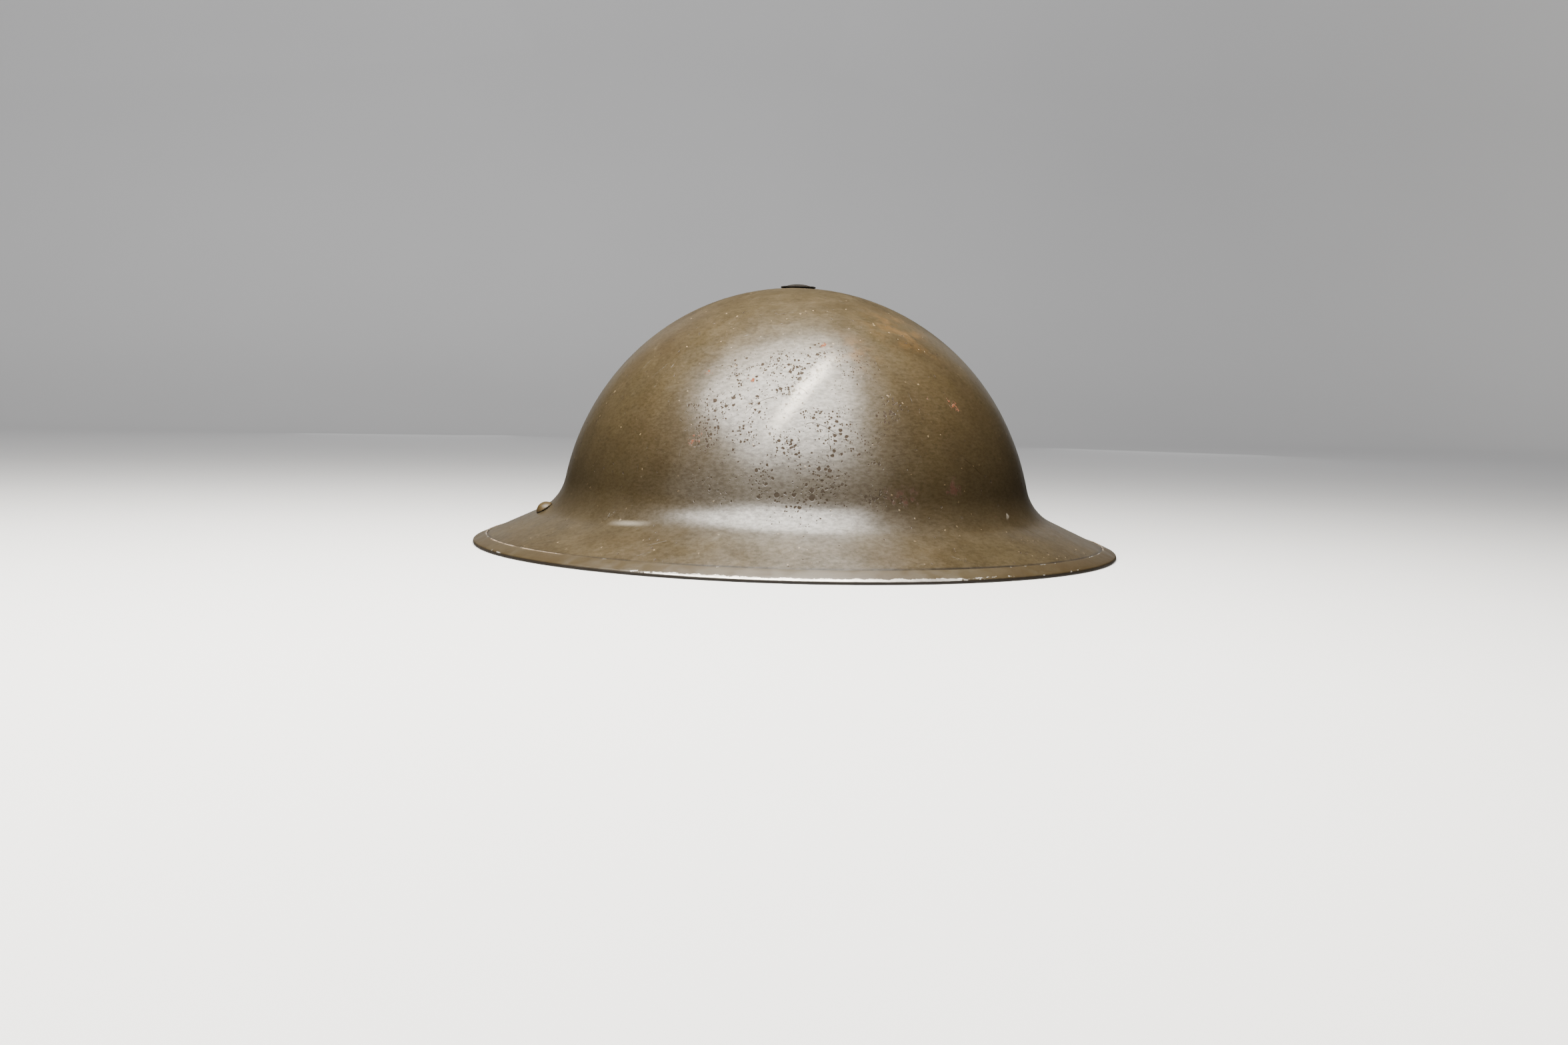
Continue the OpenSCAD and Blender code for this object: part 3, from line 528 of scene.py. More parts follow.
def oiled_cloth():
    """Black-brown coated cloth: fine woven grain, creases, rubbed high places."""
    thread = 0.0009
    finish, tree, shader, where = begin("oiled_cloth", Sheen_Weight=0.15, Sheen_Roughness=0.4)
    tone = use(tree, TONES, Vector=where, Colour=(0.030, 0.022, 0.016), Other=(0.052, 0.036, 0.023), Scale=40.0,
               Depth=0.5)
    creases = use(tree, SCRATCHES, Vector=where, Scale=60.0, Width=0.02, Amount=0.55)
    rubbed = use(tree, CHIPS, Vector=where, Scale=70.0, Where=0.45, Edge=0.2)
    warp, weft = [maths(tree, "SINE", times(tree, part, 2 * math.pi / thread)) for part in across_and_along(tree)]
    grain = times(tree, plus(tree, warp, weft), 0.1)
    relief = less(tree, plus(tree, grain, noise(tree, where, 300.0, 4.0)), creases)
    feed(tree, shader,
         Base_Color=layered(tree, tone, ((times(tree, rubbed, 0.5), (0.11, 0.078, 0.05)),
                                         (times(tree, creases, 0.6), (0.014, 0.010, 0.007)))),
         Roughness=between(tree, rubbed, 0, 1, 0.36, 0.55), Normal=bump(tree, relief, 0.00018, 0.7))
    return finish


def rubber(name, colour, other, pores, rough):
    """Moulded rubber, bloomed and dusty; pores is how many sponge cells show."""
    finish, tree, shader, where = begin(name)
    tone = use(tree, TONES, Vector=where, Colour=colour, Other=other, Scale=36.0, Depth=0.45)
    film = use(tree, DUST, Vector=where, Scale=90.0, Amount=0.3)
    cells = use(tree, SPECKS, Vector=where, Scale=1300.0, Amount=pores, Softness=0.2)
    cracks = use(tree, CRACKS, Vector=where, Scale=420.0, Width=0.022, Amount=0.43)
    relief = less(tree, times(tree, noise(tree, where, 520.0, 4.0), 0.6), plus(tree, cells, cracks))
    feed(tree, shader,
         Base_Color=layered(tree, tone, ((film, (0.17, 0.15, 0.12)), (times(tree, cells, 0.75), shaded(colour, 0.3)),
                                         (times(tree, cracks, 0.7), shaded(colour, 0.35)))),
         Roughness=between(tree, noise(tree, where, 110.0, 5.0), 0.25, 0.8, rough - 0.12, rough + 0.12),
         Normal=bump(tree, relief, 0.0003, 0.8))
    return finish


def cotton_webbing():
    """Woven cotton: ribs across the width, each row of them set half a rib over, and soiling."""
    rib, row = 0.00105, 0.0013
    finish, tree, shader, where = begin("cotton_webbing", Sheen_Weight=0.25, Sheen_Roughness=0.5)
    across, along = across_and_along(tree)
    ribs = times(tree, across, 1 / rib)
    rows = plus(tree, times(tree, along, 1 / row), times(tree, maths(tree, "FLOOR", ribs), 0.5))
    humps = [size_of(tree, maths(tree, "SINE", times(tree, part, math.pi))) for part in (ribs, rows)]
    yarn = times(tree, maths(tree, "POWER", humps[0], 0.6), maths(tree, "POWER", humps[1], 0.5))
    tone = use(tree, TONES, Vector=where, Colour=(0.235, 0.195, 0.105), Other=(0.175, 0.135, 0.068), Scale=45.0,
               Depth=0.4)
    soil = use(tree, CHIPS, Vector=where, Scale=55.0, Where=0.5, Edge=0.3)
    fuzz = times(tree, noise(tree, where, 1500.0, 3.0), 0.35)
    feed(tree, shader,
         Base_Color=layered(tree, tone, ((between(tree, yarn, 0.0, 0.8, 0.75, 0.0), (0.05, 0.038, 0.02)),
                                         (times(tree, soil, 0.45), (0.075, 0.055, 0.03)))),
         Roughness=between(tree, yarn, 0, 1, 0.95, 0.8), Normal=bump(tree, plus(tree, yarn, fuzz), 0.0004, 0.9))
    return finish


def sewing_thread():
    """Dull twisted thread."""
    finish, tree, shader, where = begin("sewing_thread", Sheen_Weight=0.2)
    twist = noise(tree, stretched(tree, where, (1, 1, 1), (0.8, 0.8, 0.8)), 2600.0, 2.0)
    feed(tree, shader,
         Base_Color=use(tree, TONES, Vector=where, Colour=(0.33, 0.27, 0.16), Other=(0.20, 0.15, 0.085), Scale=120.0,
                        Depth=0.5),
         Roughness=between(tree, noise(tree, where, 900.0, 3.0), 0.2, 0.8, 0.7, 0.95),
         Normal=bump(tree, twist, 0.0001, 0.8))
    return finish


PAINT, RIM = olive_paint(), rim_paint()
BOLT = metal("dark_bolt_paint", (0.011, 0.010, 0.009), (0.021, 0.018, 0.015), (0.055, 0.048, 0.040),
             0.70, (0.0, 0.3), 120.0, 0.40, gleam=0.05)
LUG = metal("painted_lug_steel", OLIVE, BROWN, (0.26, 0.23, 0.19), 0.42, (0.0, 0.7), 100.0, 0.42)
RIVET = metal("worn_rivet_paint", (0.050, 0.034, 0.014), (0.032, 0.022, 0.010), (0.16, 0.115, 0.055),
              0.37, (0.0, 0.5), 150.0, 0.43, gleam=0.25)
PLATED = metal("dull_plated_steel", (0.40, 0.38, 0.35), (0.27, 0.25, 0.22), (0.20, 0.11, 0.06),
               0.42, (0.95, 0.3), 110.0, 0.38)
WIRE = metal("drawn_wire", (0.34, 0.31, 0.27), (0.22, 0.19, 0.16), (0.15, 0.12, 0.075), 0.40, (0.9, 0.2), 160.0, 0.46)
CLIP = metal("clip_steel", (0.46, 0.42, 0.34), (0.32, 0.29, 0.23), (0.17, 0.11, 0.06), 0.40, (0.95, 0.4), 140.0, 0.40)
BRASS = metal("dull_brass", (0.42, 0.31, 0.14), (0.27, 0.20, 0.10), (0.13, 0.10, 0.065),
              0.40, (0.95, 0.6), 180.0, 0.42)
FIBRE, CLOTH, WEBBING, THREAD = fibre_board(), oiled_cloth(), cotton_webbing(), sewing_thread()
SPONGE = rubber("sponge_rubber", (0.092, 0.054, 0.036), (0.066, 0.038, 0.025), 0.8, 0.8)
BUFFER = rubber("grey_rubber", (0.030, 0.028, 0.026), (0.048, 0.044, 0.039), 0.25, 0.66)


# ---------------------------------------------------------------- modelling helpers
def nothing_chosen():
    if bpy.context.mode != "OBJECT":
        bpy.ops.object.mode_set(mode="OBJECT")
    bpy.ops.object.select_all(action="DESELECT")


def only(*things):
    nothing_chosen()
    for thing in things:
        thing.select_set(True)
    bpy.context.view_layer.objects.active = things[0]


def editing(thing, mode="VERT", chosen="DESELECT"):
    """Opens a piece's mesh with nothing or everything in it chosen."""
    only(thing)
    bpy.ops.object.mode_set(mode="EDIT")
    bpy.ops.mesh.select_mode(type=mode)
    bpy.ops.mesh.select_all(action=chosen)
    return bmesh.from_edit_mesh(thing.data)


def done():
    bpy.ops.object.mode_set(mode="OBJECT")


def named(name):
    thing = bpy.context.object
    thing.name = thing.data.name = name
    return thing


def settle(thing):
    """The object comes to the origin, unturned and unscaled, with its place in its mesh."""
    only(thing)
    bpy.ops.object.transform_apply(location=True, rotation=True, scale=True)
    return thing


def finish_with(thing, kind, **settings):
    """Adds a modifier and applies it."""
    only(thing)
    modifier = thing.modifiers.new(kind.lower(), kind)
    for key, value in settings.items():
        setattr(modifier, key, value)
    bpy.ops.object.modifier_apply(modifier=modifier.name)
    return thing


def bevelled(thing, width, degrees):
    """Eases the edges sharper than an angle; the width is in millimetres."""
    return finish_with(thing, "BEVEL", width=width * MM, segments=2, limit_method="ANGLE",
                       angle_limit=math.radians(degrees))


def smoother(thing, levels=1):
    return finish_with(thing, "SUBSURF", levels=levels, render_levels=levels)


def smooth(thing, degrees):
    only(thing)
    bpy.ops.object.shade_smooth_by_angle(angle=math.radians(degrees))
    return thing


def outwards(thing):
    """Doubles merged and normals turned outwards."""
    editing(thing, chosen="SELECT")
    bpy.ops.mesh.remove_doubles(threshold=0.00001)
    bpy.ops.mesh.normals_make_consistent(inside=False)
    done()
    return thing


def cover(thing, finish):
    thing.data.materials.clear()
    thing.data.materials.append(finish)


def coat(thing, finish, body="helmet", stands_for=()):
    """Gives a piece its finish and its body."""
    cover(thing, finish)
    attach(thing, body)
    if stands_for:
        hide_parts(*stands_for)
    return thing


def ringed(name, rings, corners=144, joined=False):
    """A form of oval rings (half width, half length, height, extra height at the two ends), millimetres, each extruded
    from the one before. joined closes the last onto the first."""
    nothing_chosen()
    bpy.ops.mesh.primitive_circle_add(vertices=corners, radius=1)
    thing = named(name)
    editing(thing, chosen="SELECT")
    wide, long = 1.0, 1.0
    for i, (half_width, half_length, height, *lift) in enumerate(rings):
        if i:
            bpy.ops.mesh.extrude_region_move()
        bpy.ops.transform.resize(value=(half_width * MM / wide, half_length * MM / long, 1),
                                 center_override=(0, 0, 0))
        wide, long = half_width * MM, half_length * MM
        bm = bmesh.from_edit_mesh(thing.data)
        for v in bm.verts:
            if v.select:
                v.co.z = (height + (lift[0] if lift else 0.0) * (v.co.y / long) ** 2) * MM
        bmesh.update_edit_mesh(thing.data)
    if joined:
        bpy.ops.mesh.select_all(action="DESELECT")
        bpy.ops.mesh.select_non_manifold(extend=False)
        bpy.ops.mesh.bridge_edge_loops()
    done()
    return thing


def turned(name, profile, corners, joined=False):
    """A round form from a profile of (radius, height), millimetres."""
    return ringed(name, [(r, r, height) for r, height in profile], corners, joined)


def close_end(thing, end, inset, to_point=False):
    """Fills a ringed form's open top (end 1) or bottom (end -1), with a ring of small faces round the fill."""
    bm = editing(thing)
    level = max(v.co.z * end for v in bm.verts)
    for v in bm.verts:
        v.select = v.co.z * end > level - 0.00001
    bm.select_flush(True)
    bmesh.update_edit_mesh(thing.data)
    bpy.ops.mesh.edge_face_add()
    bpy.ops.mesh.inset(thickness=inset)
    if to_point:
        bpy.ops.mesh.merge(type="CENTER")
    done()


def dome(half, rise, base, widest, spread):
    """The rings of a low dome of a half width and a rise over its base, from its widest ring inwards."""
    sphere = (half * half + rise * rise) / (2 * rise)
    radii = [widest * (1 - i / spread) for i in range(1, 9)]
    return [(r, base + rise - sphere + math.sqrt(sphere * sphere - r * r)) for r in radii]


def arc(radius, start, end, steps):
    """Spots on an arc from one angle to another, in degrees."""
    angles = [math.radians(start + (end - start) * i / steps) for i in range(steps + 1)]
    return [(radius * math.cos(a), radius * math.sin(a)) for a in angles]


def block(name, size, place):
    """A box to cut with, in millimetres."""
    place = [c * MM for c in place]
    nothing_chosen()
    bpy.ops.mesh.primitive_cube_add(size=1, location=place)
    thing = named(name)
    editing(thing, chosen="SELECT")
    bpy.ops.transform.resize(value=[c * MM for c in size], center_override=place)
    done()
    return settle(thing)


def cut_away(thing, cutter):
    """Takes the cutter's shape out of the piece, and removes the cutter."""
    outwards(cutter)
    finish_with(thing, "BOOLEAN", operation="DIFFERENCE", object=cutter, solver="EXACT")
    only(cutter)
    bpy.ops.object.delete()
    return thing


def spread_out(thing, places):
    """Copies a shape made round the origin to each place, a matrix, and joins the copies to one piece."""
    shape, pieces = thing.data.copy(), [thing]
    for i, place in enumerate(places):
        if i:
            pieces.append(bpy.data.objects.new(thing.name, shape.copy()))
            bpy.context.collection.objects.link(pieces[-1])
        pieces[-1].data.transform(place)
    only(*pieces)
    bpy.ops.object.join()
    return thing


# ---------------------------------------------------------------- the steel
BOWL, EDGE = (105.0, 121.0), (143.0, 153.0)  # half widths and half lengths, of the bowl's curve and the brim's edge
FOOT, RISE, POWER = 6.7, 109.3, 2.02
FLARE, START, EDGE_Z = 22.0, math.radians(11.6), 0.85
BOWL_RINGS, FLARE_RINGS, BRIM_RINGS = 34, 10, 6
SHEET = 1.0
BAND_IN, BAND_OUT, BAND_WIDTH, BAND_GAP = 0.55, 1.0, 6.0, 0.6
BOLT_TOP, BOLT_HALF, BOLT_RISE = 116.5, 7.9, 1.75
SLOT_WIDTH, SLOT_DEPTH = 1.5, 0.9
SHANK_RADIUS, SHANK_LENGTH, SHANK_MIDDLE = 2.35, 13.2, 110.1


def bowl_spot(w, u):
    return Vector((w * math.cos(u) ** (2 / POWER), FOOT + RISE * math.sin(u) ** (2 / POWER)))


def flare_of(w, e):
    """The flare's centre, and the falls where it leaves the bowl and meets the brim."""
    step = math.radians(0.5)
    p, q = bowl_spot(w, START + step), bowl_spot(w, START)
    first = math.atan2(p[1] - q[1], q[0] - p[0])
    centre = q + FLARE * Vector((math.sin(first), math.cos(first)))
    v = Vector((e, EDGE_Z)) - centre
    return centre, first, -math.atan2(v[1], v[0]) - math.asin(FLARE / v.length)


def flare_spot(w, e, share):
    centre, first, last = flare_of(w, e)
    d = first + (last - first) * share
    return centre - FLARE * Vector((math.sin(d), math.cos(d)))


def brim_spot(w, e, share):
    return flare_spot(w, e, 1).lerp(Vector((e, EDGE_Z)), share)


def ring_at(side, end):
    """A ring through the section's spot at the side and its spot at the front and rear."""
    return side[0], end[0], side[1], end[1] - side[1]


def pressed_shell():
    """Bowl, flare and brim pressed from one sheet."""
    top = math.radians(89.3)
    falls = [top + (START - top) * (i / BOWL_RINGS) ** 0.9 for i in range(BOWL_RINGS)]
    both = list(zip(BOWL, EDGE))
    rings = [ring_at(*[bowl_spot(w, u) for w in BOWL]) for u in falls]
    rings += [ring_at(*[flare_spot(w, e, i / FLARE_RINGS) for w, e in both]) for i in range(FLARE_RINGS + 1)]
    rings += [ring_at(*[brim_spot(w, e, i / BRIM_RINGS) for w, e in both]) for i in range(1, BRIM_RINGS + 1)]
    shell = ringed("pressed_shell", rings)
    close_end(shell, 1, 0.0006, to_point=True)
    outwards(shell)
    unevenness(shell)
    finish_with(shell, "SOLIDIFY", thickness=SHEET * MM, offset=0.0, use_even_offset=True)
    smoother(shell)
    smooth(shell, 60)
    return coat(shell, PAINT, stands_for=["shell"])


def unevenness(shell):
    """The bowl's slight hand-finished waviness, fading out towards the flare."""
    waves = [(Vector([chance.uniform(-1, 1) for _ in range(3)]).normalized() * chance.uniform(40, 75),
              chance.uniform(0, 6.3)) for _ in range(7)]
    for v in shell.data.vertices:
        share = min(max((v.co.z - 0.026) / 0.03, 0.0), 1.0)
        wave = sum(math.sin(k.dot(v.co) + p) for k, p in waves) / 7
        v.co += v.normal * (-0.00022 + 0.00028 * wave) * share


def folded_rim():
    """The thin steel band folded over the brim's edge, its ends butted at the rear."""
    lip = [(-BAND_WIDTH, BAND_IN), (-BAND_WIDTH - 0.05, (BAND_IN + BAND_OUT) / 2), (-BAND_WIDTH, BAND_OUT - 0.03),
           (-BAND_WIDTH + 0.35, BAND_OUT), (-4, BAND_OUT), (-2, BAND_OUT)]
    profile = lip + arc(BAND_OUT, 90, -90, 12) + [(along, -out) for along, out in reversed(lip)]
    profile += [(-3, -BAND_IN)] + arc(BAND_IN, -90, 90, 6) + [(-3, BAND_IN)]
    edges = [(e, flare_of(w, e)[2]) for w, e in zip(BOWL, EDGE)]
    rings = [ring_at(*[Vector((e + along * math.cos(fall) + out * math.sin(fall),
                               max(EDGE_Z - along * math.sin(fall) + out * math.cos(fall), 0.0)))
                       for e, fall in edges]) for along, out in profile]
    rim = ringed("folded_rim", rings, corners=180, joined=True)
    outwards(rim)
    cut_away(rim, block("band_gap", (BAND_GAP, 20, 20), (0, 151, 2)))
    smooth(rim, 35)
    return coat(rim, RIM, stands_for=["rim_band"])


def bolt_head():
    """The crown bolt: a low slotted dome with a small flat edge, a shank below."""
    profile = [(BOLT_HALF - 0.35, BOLT_TOP), (BOLT_HALF, BOLT_TOP + 0.1), (BOLT_HALF, BOLT_TOP + 0.45),
               (BOLT_HALF - 0.12, BOLT_TOP + 0.62)]
    profile += dome(BOLT_HALF, BOLT_RISE, BOLT_TOP, BOLT_HALF - 0.15, 8.6)
    head = turned("slotted_bolt", profile, 64)
    for end in (1, -1):
        close_end(head, end, 0.0002)
    outwards(head)
    cut_away(head, block("slot", (20, SLOT_WIDTH, 2 * SLOT_DEPTH), (0, 0, BOLT_TOP + BOLT_RISE)))
    bevelled(head, 0.12, 40)
    nothing_chosen()
    bpy.ops.mesh.primitive_cylinder_add(vertices=40, radius=SHANK_RADIUS * MM, depth=SHANK_LENGTH * MM,
                                        location=(0, 0, SHANK_MIDDLE * MM))
    shank = bevelled(named("shank"), 0.3, 60)
    settle(shank)
    only(head, shank)
    bpy.ops.object.join()
    smooth(head, 35)
    return coat(head, BOLT, stands_for=["crown_bolt"])


pressed_shell()
folded_rim()
bolt_head()


# ---------------------------------------------------------------- liner and fittings
HOOP_IN, LAP_OUT = (81.7, 101.7), (84.05, 104.05)
HOOP_TOP, HOOP_LOW, LAP_LOW = 57.951, 19.951, 40.951
LUG_AT, LUG_SLOPE = Vector((112.469, 0, 14.865)), math.radians(33.015)
BAR, TAIL_RISE = Vector((103.734, 5.0226)), math.radians(16.01)
STRAP_WIDTH, STRAP_SHEET, STRAP_FLAT = 25.0, 1.0, 13.5
STRAP_ENDS = 20.6, 23.6, 24.7  # the widths of its last rows, round its corners
SEAMS, HALF_GROOVE, BACKING = (55.6, 22.6), 0.5, 1.2
BAND_ROWS, BAND_TOP, BAND_DROP = 17, 54.5, 30.8
STITCH_PITCH, STITCH_LENGTH, STITCH_THICK = 4.2, 3.0, 0.75
RIVET_ASIDE, RIVET_HEAD, RIVET_RISE, TAIL_LOW = 6.75, 4.0, 2.8, -3.4
SIDES = (1, "left"), (-1, "right")


def copied(node, name):
    """The CAD node's shape as a new piece, its loose triangles merged."""
    source = bpy.data.objects[node]
    piece = bpy.data.objects.new(name, source.data.copy())
    piece.data.name = name
    bpy.context.collection.objects.link(piece)
    piece.matrix_world = source.matrix_world
    settle(piece)
    editing(piece, chosen="SELECT")
    bpy.ops.mesh.remove_doubles(threshold=0.00002)
    bpy.ops.mesh.customdata_custom_splitnormals_clear()
    bpy.ops.mesh.faces_shade_flat()
    done()
    return piece


def eased(node, name, width, finish):
    """The CAD node's shape with its sharp edges eased."""
    piece = copied(node, name)
    editing(piece, chosen="SELECT")
    bpy.ops.mesh.dissolve_limited(angle_limit=math.radians(2))
    done()
    bevelled(piece, width, 45)
    smooth(piece, 35)
    return coat(piece, finish, stands_for=[node])


def moulded(node, name, voxel, rounds, finish):
    """The CAD node's shape with every edge rounded, as rubber leaves a mould."""
    piece = copied(node, name)
    finish_with(piece, "REMESH", mode="VOXEL", voxel_size=voxel * MM)
    finish_with(piece, "SMOOTH", factor=0.5, iterations=rounds)
    smooth(piece, 80)
    return coat(piece, finish, stands_for=[node])


def bezier(a, b, c, d, t):
    return (1 - t) ** 3 * a + 3 * (1 - t) ** 2 * t * b + 3 * (1 - t) * t * t * c + t ** 3 * d


def strip(name, line, widths, thickness, across, turn=0.0):
    """A flat strip along a line of (out, up) spots, extruded spot by spot, then given its thickness. widths has one for
    each spot; turn swings it about the upright axis. Its UV map runs across and along it in metres."""
    nothing_chosen()
    bpy.ops.mesh.primitive_grid_add(x_subdivisions=1, y_subdivisions=across, size=1)
    thing = named(name)
    bm = editing(thing, "EDGE")
    bmesh.ops.delete(bm, geom=[v for v in bm.verts if v.co.x > 0], context="VERTS")
    for v in bm.verts:
        v.co = Vector((line[0][0] * MM, v.co.y * widths[0] * MM, line[0][1] * MM))
    bm.select_mode = {"EDGE"}
    for e in bm.edges:
        e.select = True
    bmesh.update_edit_mesh(thing.data)
    for i in range(1, len(line)):
        step = Vector((line[i][0] - line[i - 1][0], 0, line[i][1] - line[i - 1][1])) * MM
        bpy.ops.mesh.extrude_region_move(TRANSFORM_OT_translate={"value": step})
        if widths[i] != widths[i - 1]:
            bpy.ops.transform.resize(value=(1, widths[i] / widths[i - 1], 1),
                                     center_override=(line[i][0] * MM, 0, line[i][1] * MM))
    done()
    map_strip(thing, line, across)
    finish_with(thing, "SOLIDIFY", thickness=thickness * MM, offset=0.0, use_even_offset=True)
    thing.rotation_euler = (0, 0, turn)
    return thing


def uv_of(mesh):
    return mesh.uv_layers[0] if mesh.uv_layers else mesh.uv_layers.new(name="surface")


def map_strip(thing, line, across):
    """UV map of a strip whose rows of points follow one another: across it and along it, in metres."""
    mesh = thing.data
    uv = uv_of(mesh)
    lengths = [0.0]
    for i in range(1, len(line)):
        step = math.hypot(line[i][0] - line[i - 1][0], line[i][1] - line[i - 1][1]) * MM
        lengths.append(lengths[-1] + step)
    for loop in mesh.loops:
        row = loop.vertex_index // (across + 1)
        uv.data[loop.index].uv = (mesh.vertices[loop.vertex_index].co.y, lengths[min(row, len(line) - 1)])


def map_rings(thing):
    """UV map of a ringed form: round it and up it, in metres."""
    mesh = thing.data
    uv = uv_of(mesh)
    for face in mesh.polygons:
        middle = math.atan2(face.center.y, face.center.x)
        for k in face.loop_indices:
            co = mesh.vertices[mesh.loops[k].vertex_index].co
            turn = math.atan2(co.y, co.x)
            turn += 2 * math.pi * round((middle - turn) / (2 * math.pi))
            uv.data[k].uv = (turn * 0.09, co.z + 0.3 * math.hypot(co.x, co.y))


def sewn(name, places, length, thick):
    """Stitches: one thread's hump copied to each (place, direction, outwards), millimetres."""
    nothing_chosen()
    bpy.ops.mesh.primitive_uv_sphere_add(segments=8, ring_count=6, radius=1)
    stitches = named(name)
    editing(stitches, chosen="SELECT")
    bpy.ops.transform.resize(value=(length / 2 * MM, thick / 2 * MM, thick / 2 * MM), center_override=(0, 0, 0))
    done()
    turns = []
    for place, along, out in places:
        along, out = Vector(along).normalized(), Vector(out).normalized()
        side = out.cross(along).normalized()
        turns.append(Matrix.Translation(Vector(place) * MM) @ turned_to(along, side, along.cross(side)))
    spread_out(stitches, turns)
    smooth(stitches, 80)
    return coat(stitches, THREAD)


def oval_turns(half, pitch):
    """Angles round an oval, about a pitch apart."""
    steps = 720
    turns, run, last = [], 0.0, None
    for i in range(steps):
        t = 2 * math.pi * i / steps
        here = Vector((half[0] * math.cos(t), half[1] * math.sin(t)))
        if last is not None:
            run += (here - last).length
        if last is None or run >= pitch:
            turns.append(t)
            run = 0.0
        last = here
    return turns


def head_band():
    """The oval fibre hoop that carries the straps."""
    outside, inside = (0.25, 8, 19, 30, 37.75), (37.75, 30, 19, 8, 0.25)
    profile = [(1.05, 0.0)] + [(1.2, up) for up in outside] + [(1.05, 38), (0.15, 38)]
    profile += [(0, up) for up in inside] + [(0.15, 0)]
    rings = [(HOOP_IN[0] + out, HOOP_IN[1] + out, HOOP_LOW + up) for out, up in profile]
    hoop = ringed("fibre_hoop", rings, joined=True)
    outwards(hoop)
    smooth(hoop, 35)
    return coat(hoop, FIBRE, stands_for=["headband"])


def swell(pad, held, pressure, slack, share, most_way, frames=20):
    """Cloth simulation of a sewn pad: it fills and wrinkles between the points that held(point) keeps, and the share of
    each point's way that stays is at most most_way millimetres."""
    pins = pad.vertex_groups.new(name="held")
    free = pad.vertex_groups.new(name="free")
    before = [v.co.copy() for v in pad.data.vertices]
    for v in pad.data.vertices:
        (pins if held(v.co / MM) else free).add([v.index], 1.0, "REPLACE")
    only(pad)
    cloth = pad.modifiers.new("swelling", "CLOTH")
    wants = cloth.settings
    wants.quality, wants.mass, wants.air_damping = 5, 0.1, 1.0
    wants.tension_stiffness = wants.compression_stiffness = 15.0
    wants.shear_stiffness, wants.bending_stiffness = 7.5, 1.0
    wants.tension_damping = wants.compression_damping = wants.shear_damping = 1.0
    wants.vertex_group_mass = "held"
    wants.use_pressure, wants.uniform_pressure_force, wants.shrink_min = True, pressure, -slack
    wants.effector_weights.gravity = 0.0
    cloth.point_cache.frame_start, cloth.point_cache.frame_end = 1, frames
    for frame_number in range(1, frames + 1):
        bpy.context.scene.frame_set(frame_number)
    bpy.ops.object.modifier_apply(modifier=cloth.name)
    bpy.context.scene.frame_set(1)
    for v, start in zip(pad.data.vertices, before):
        way = (v.co - start) * share
        if way.length > most_way * MM:
            way *= most_way * MM / way.length
        v.co = start + way
    finish_with(pad, "SMOOTH", factor=0.5, iterations=2, vertex_group="free")
    pad.vertex_groups.clear()
    return pad


def held_by_sewing(point):
    """Whether a point of the sweatband is on its backing or in a seam's groove."""
    deep = HOOP_IN[0] - math.hypot(point.x, point.y * HOOP_IN[0] / HOOP_IN[1])
    return deep < BACKING or any(abs(point.z - step_dust_and_shade) < HALF_GROOVE for step_dust_and_shade in SEAMS)


def sweat_band():
    """The padded oilcloth band: rolled over the headband's edges, sewn through near each, puckered at the seams."""
    profile = [(0.3, up) for up in (20.4, 26, 33, 39, 45, 52, 57.6)]
    profile += [(0.5, 58.8), (1.1, 59.8), (2.0, 59.7), (2.6, 58.8), (2.8, 57.6), (2.5, 56.5), (1.9, 55.9), (1.9, 55.3)]
    for i in range(BAND_ROWS):
        from_seam = min(i, BAND_ROWS - 1 - i)
        profile.append((2.45 + 0.95 * (1 - math.exp(-from_seam / 2.2)), BAND_TOP - BAND_DROP * i / (BAND_ROWS - 1)))
    profile += [(1.9, 22.9), (1.9, 22.3), (2.5, 21.6), (2.8, 20.4), (2.6, 19.1), (2.0, 18.2), (1.1, 18.05), (0.5, 19.0)]
    rings = [(HOOP_IN[0] - deep, HOOP_IN[1] - deep, up) for deep, up in profile]
    band = ringed("padded_sweatband", rings, corners=320, joined=True)
    outwards(band)
    swell(band, held_by_sewing, pressure=20.0, slack=0.010, share=0.5, most_way=0.4)
    smoother(band)
    smooth(band, 80)
    map_rings(band)
    coat(band, CLOTH, stands_for=["sweatband"])
    half = (HOOP_IN[0] - 2.0, HOOP_IN[1] - 2.0)
    places = [((half[0] * math.cos(t), half[1] * math.sin(t), up),
               (-half[0] * math.sin(t), half[1] * math.cos(t), 0), (-math.cos(t), -math.sin(t), 0))
              for up in SEAMS for t in oval_turns(half, STITCH_PITCH)]
    sewn("sweatband_stitches", places, STITCH_LENGTH, STITCH_THICK)


def crown_line(reach, top, steps=20):
    """Half of a crown strap's line, from the middle out and down onto the headband."""
    level, stand = 0.21 * (reach - STRAP_FLAT), 0.16 * (top - HOOP_TOP)
    a, b = Vector((STRAP_FLAT, top)), Vector((STRAP_FLAT + level, top))
    c, d = Vector((reach, HOOP_TOP + stand)), Vector((reach, HOOP_TOP))
    half = [Vector((0, top)), Vector((STRAP_FLAT / 2, top))]
    half += [bezier(a, b, c, d, i / steps) for i in range(steps + 1)]
    return half + [Vector((reach, up)) for up in ((HOOP_TOP + LAP_LOW) / 2, LAP_LOW + 2, LAP_LOW + 0.7, LAP_LOW)]


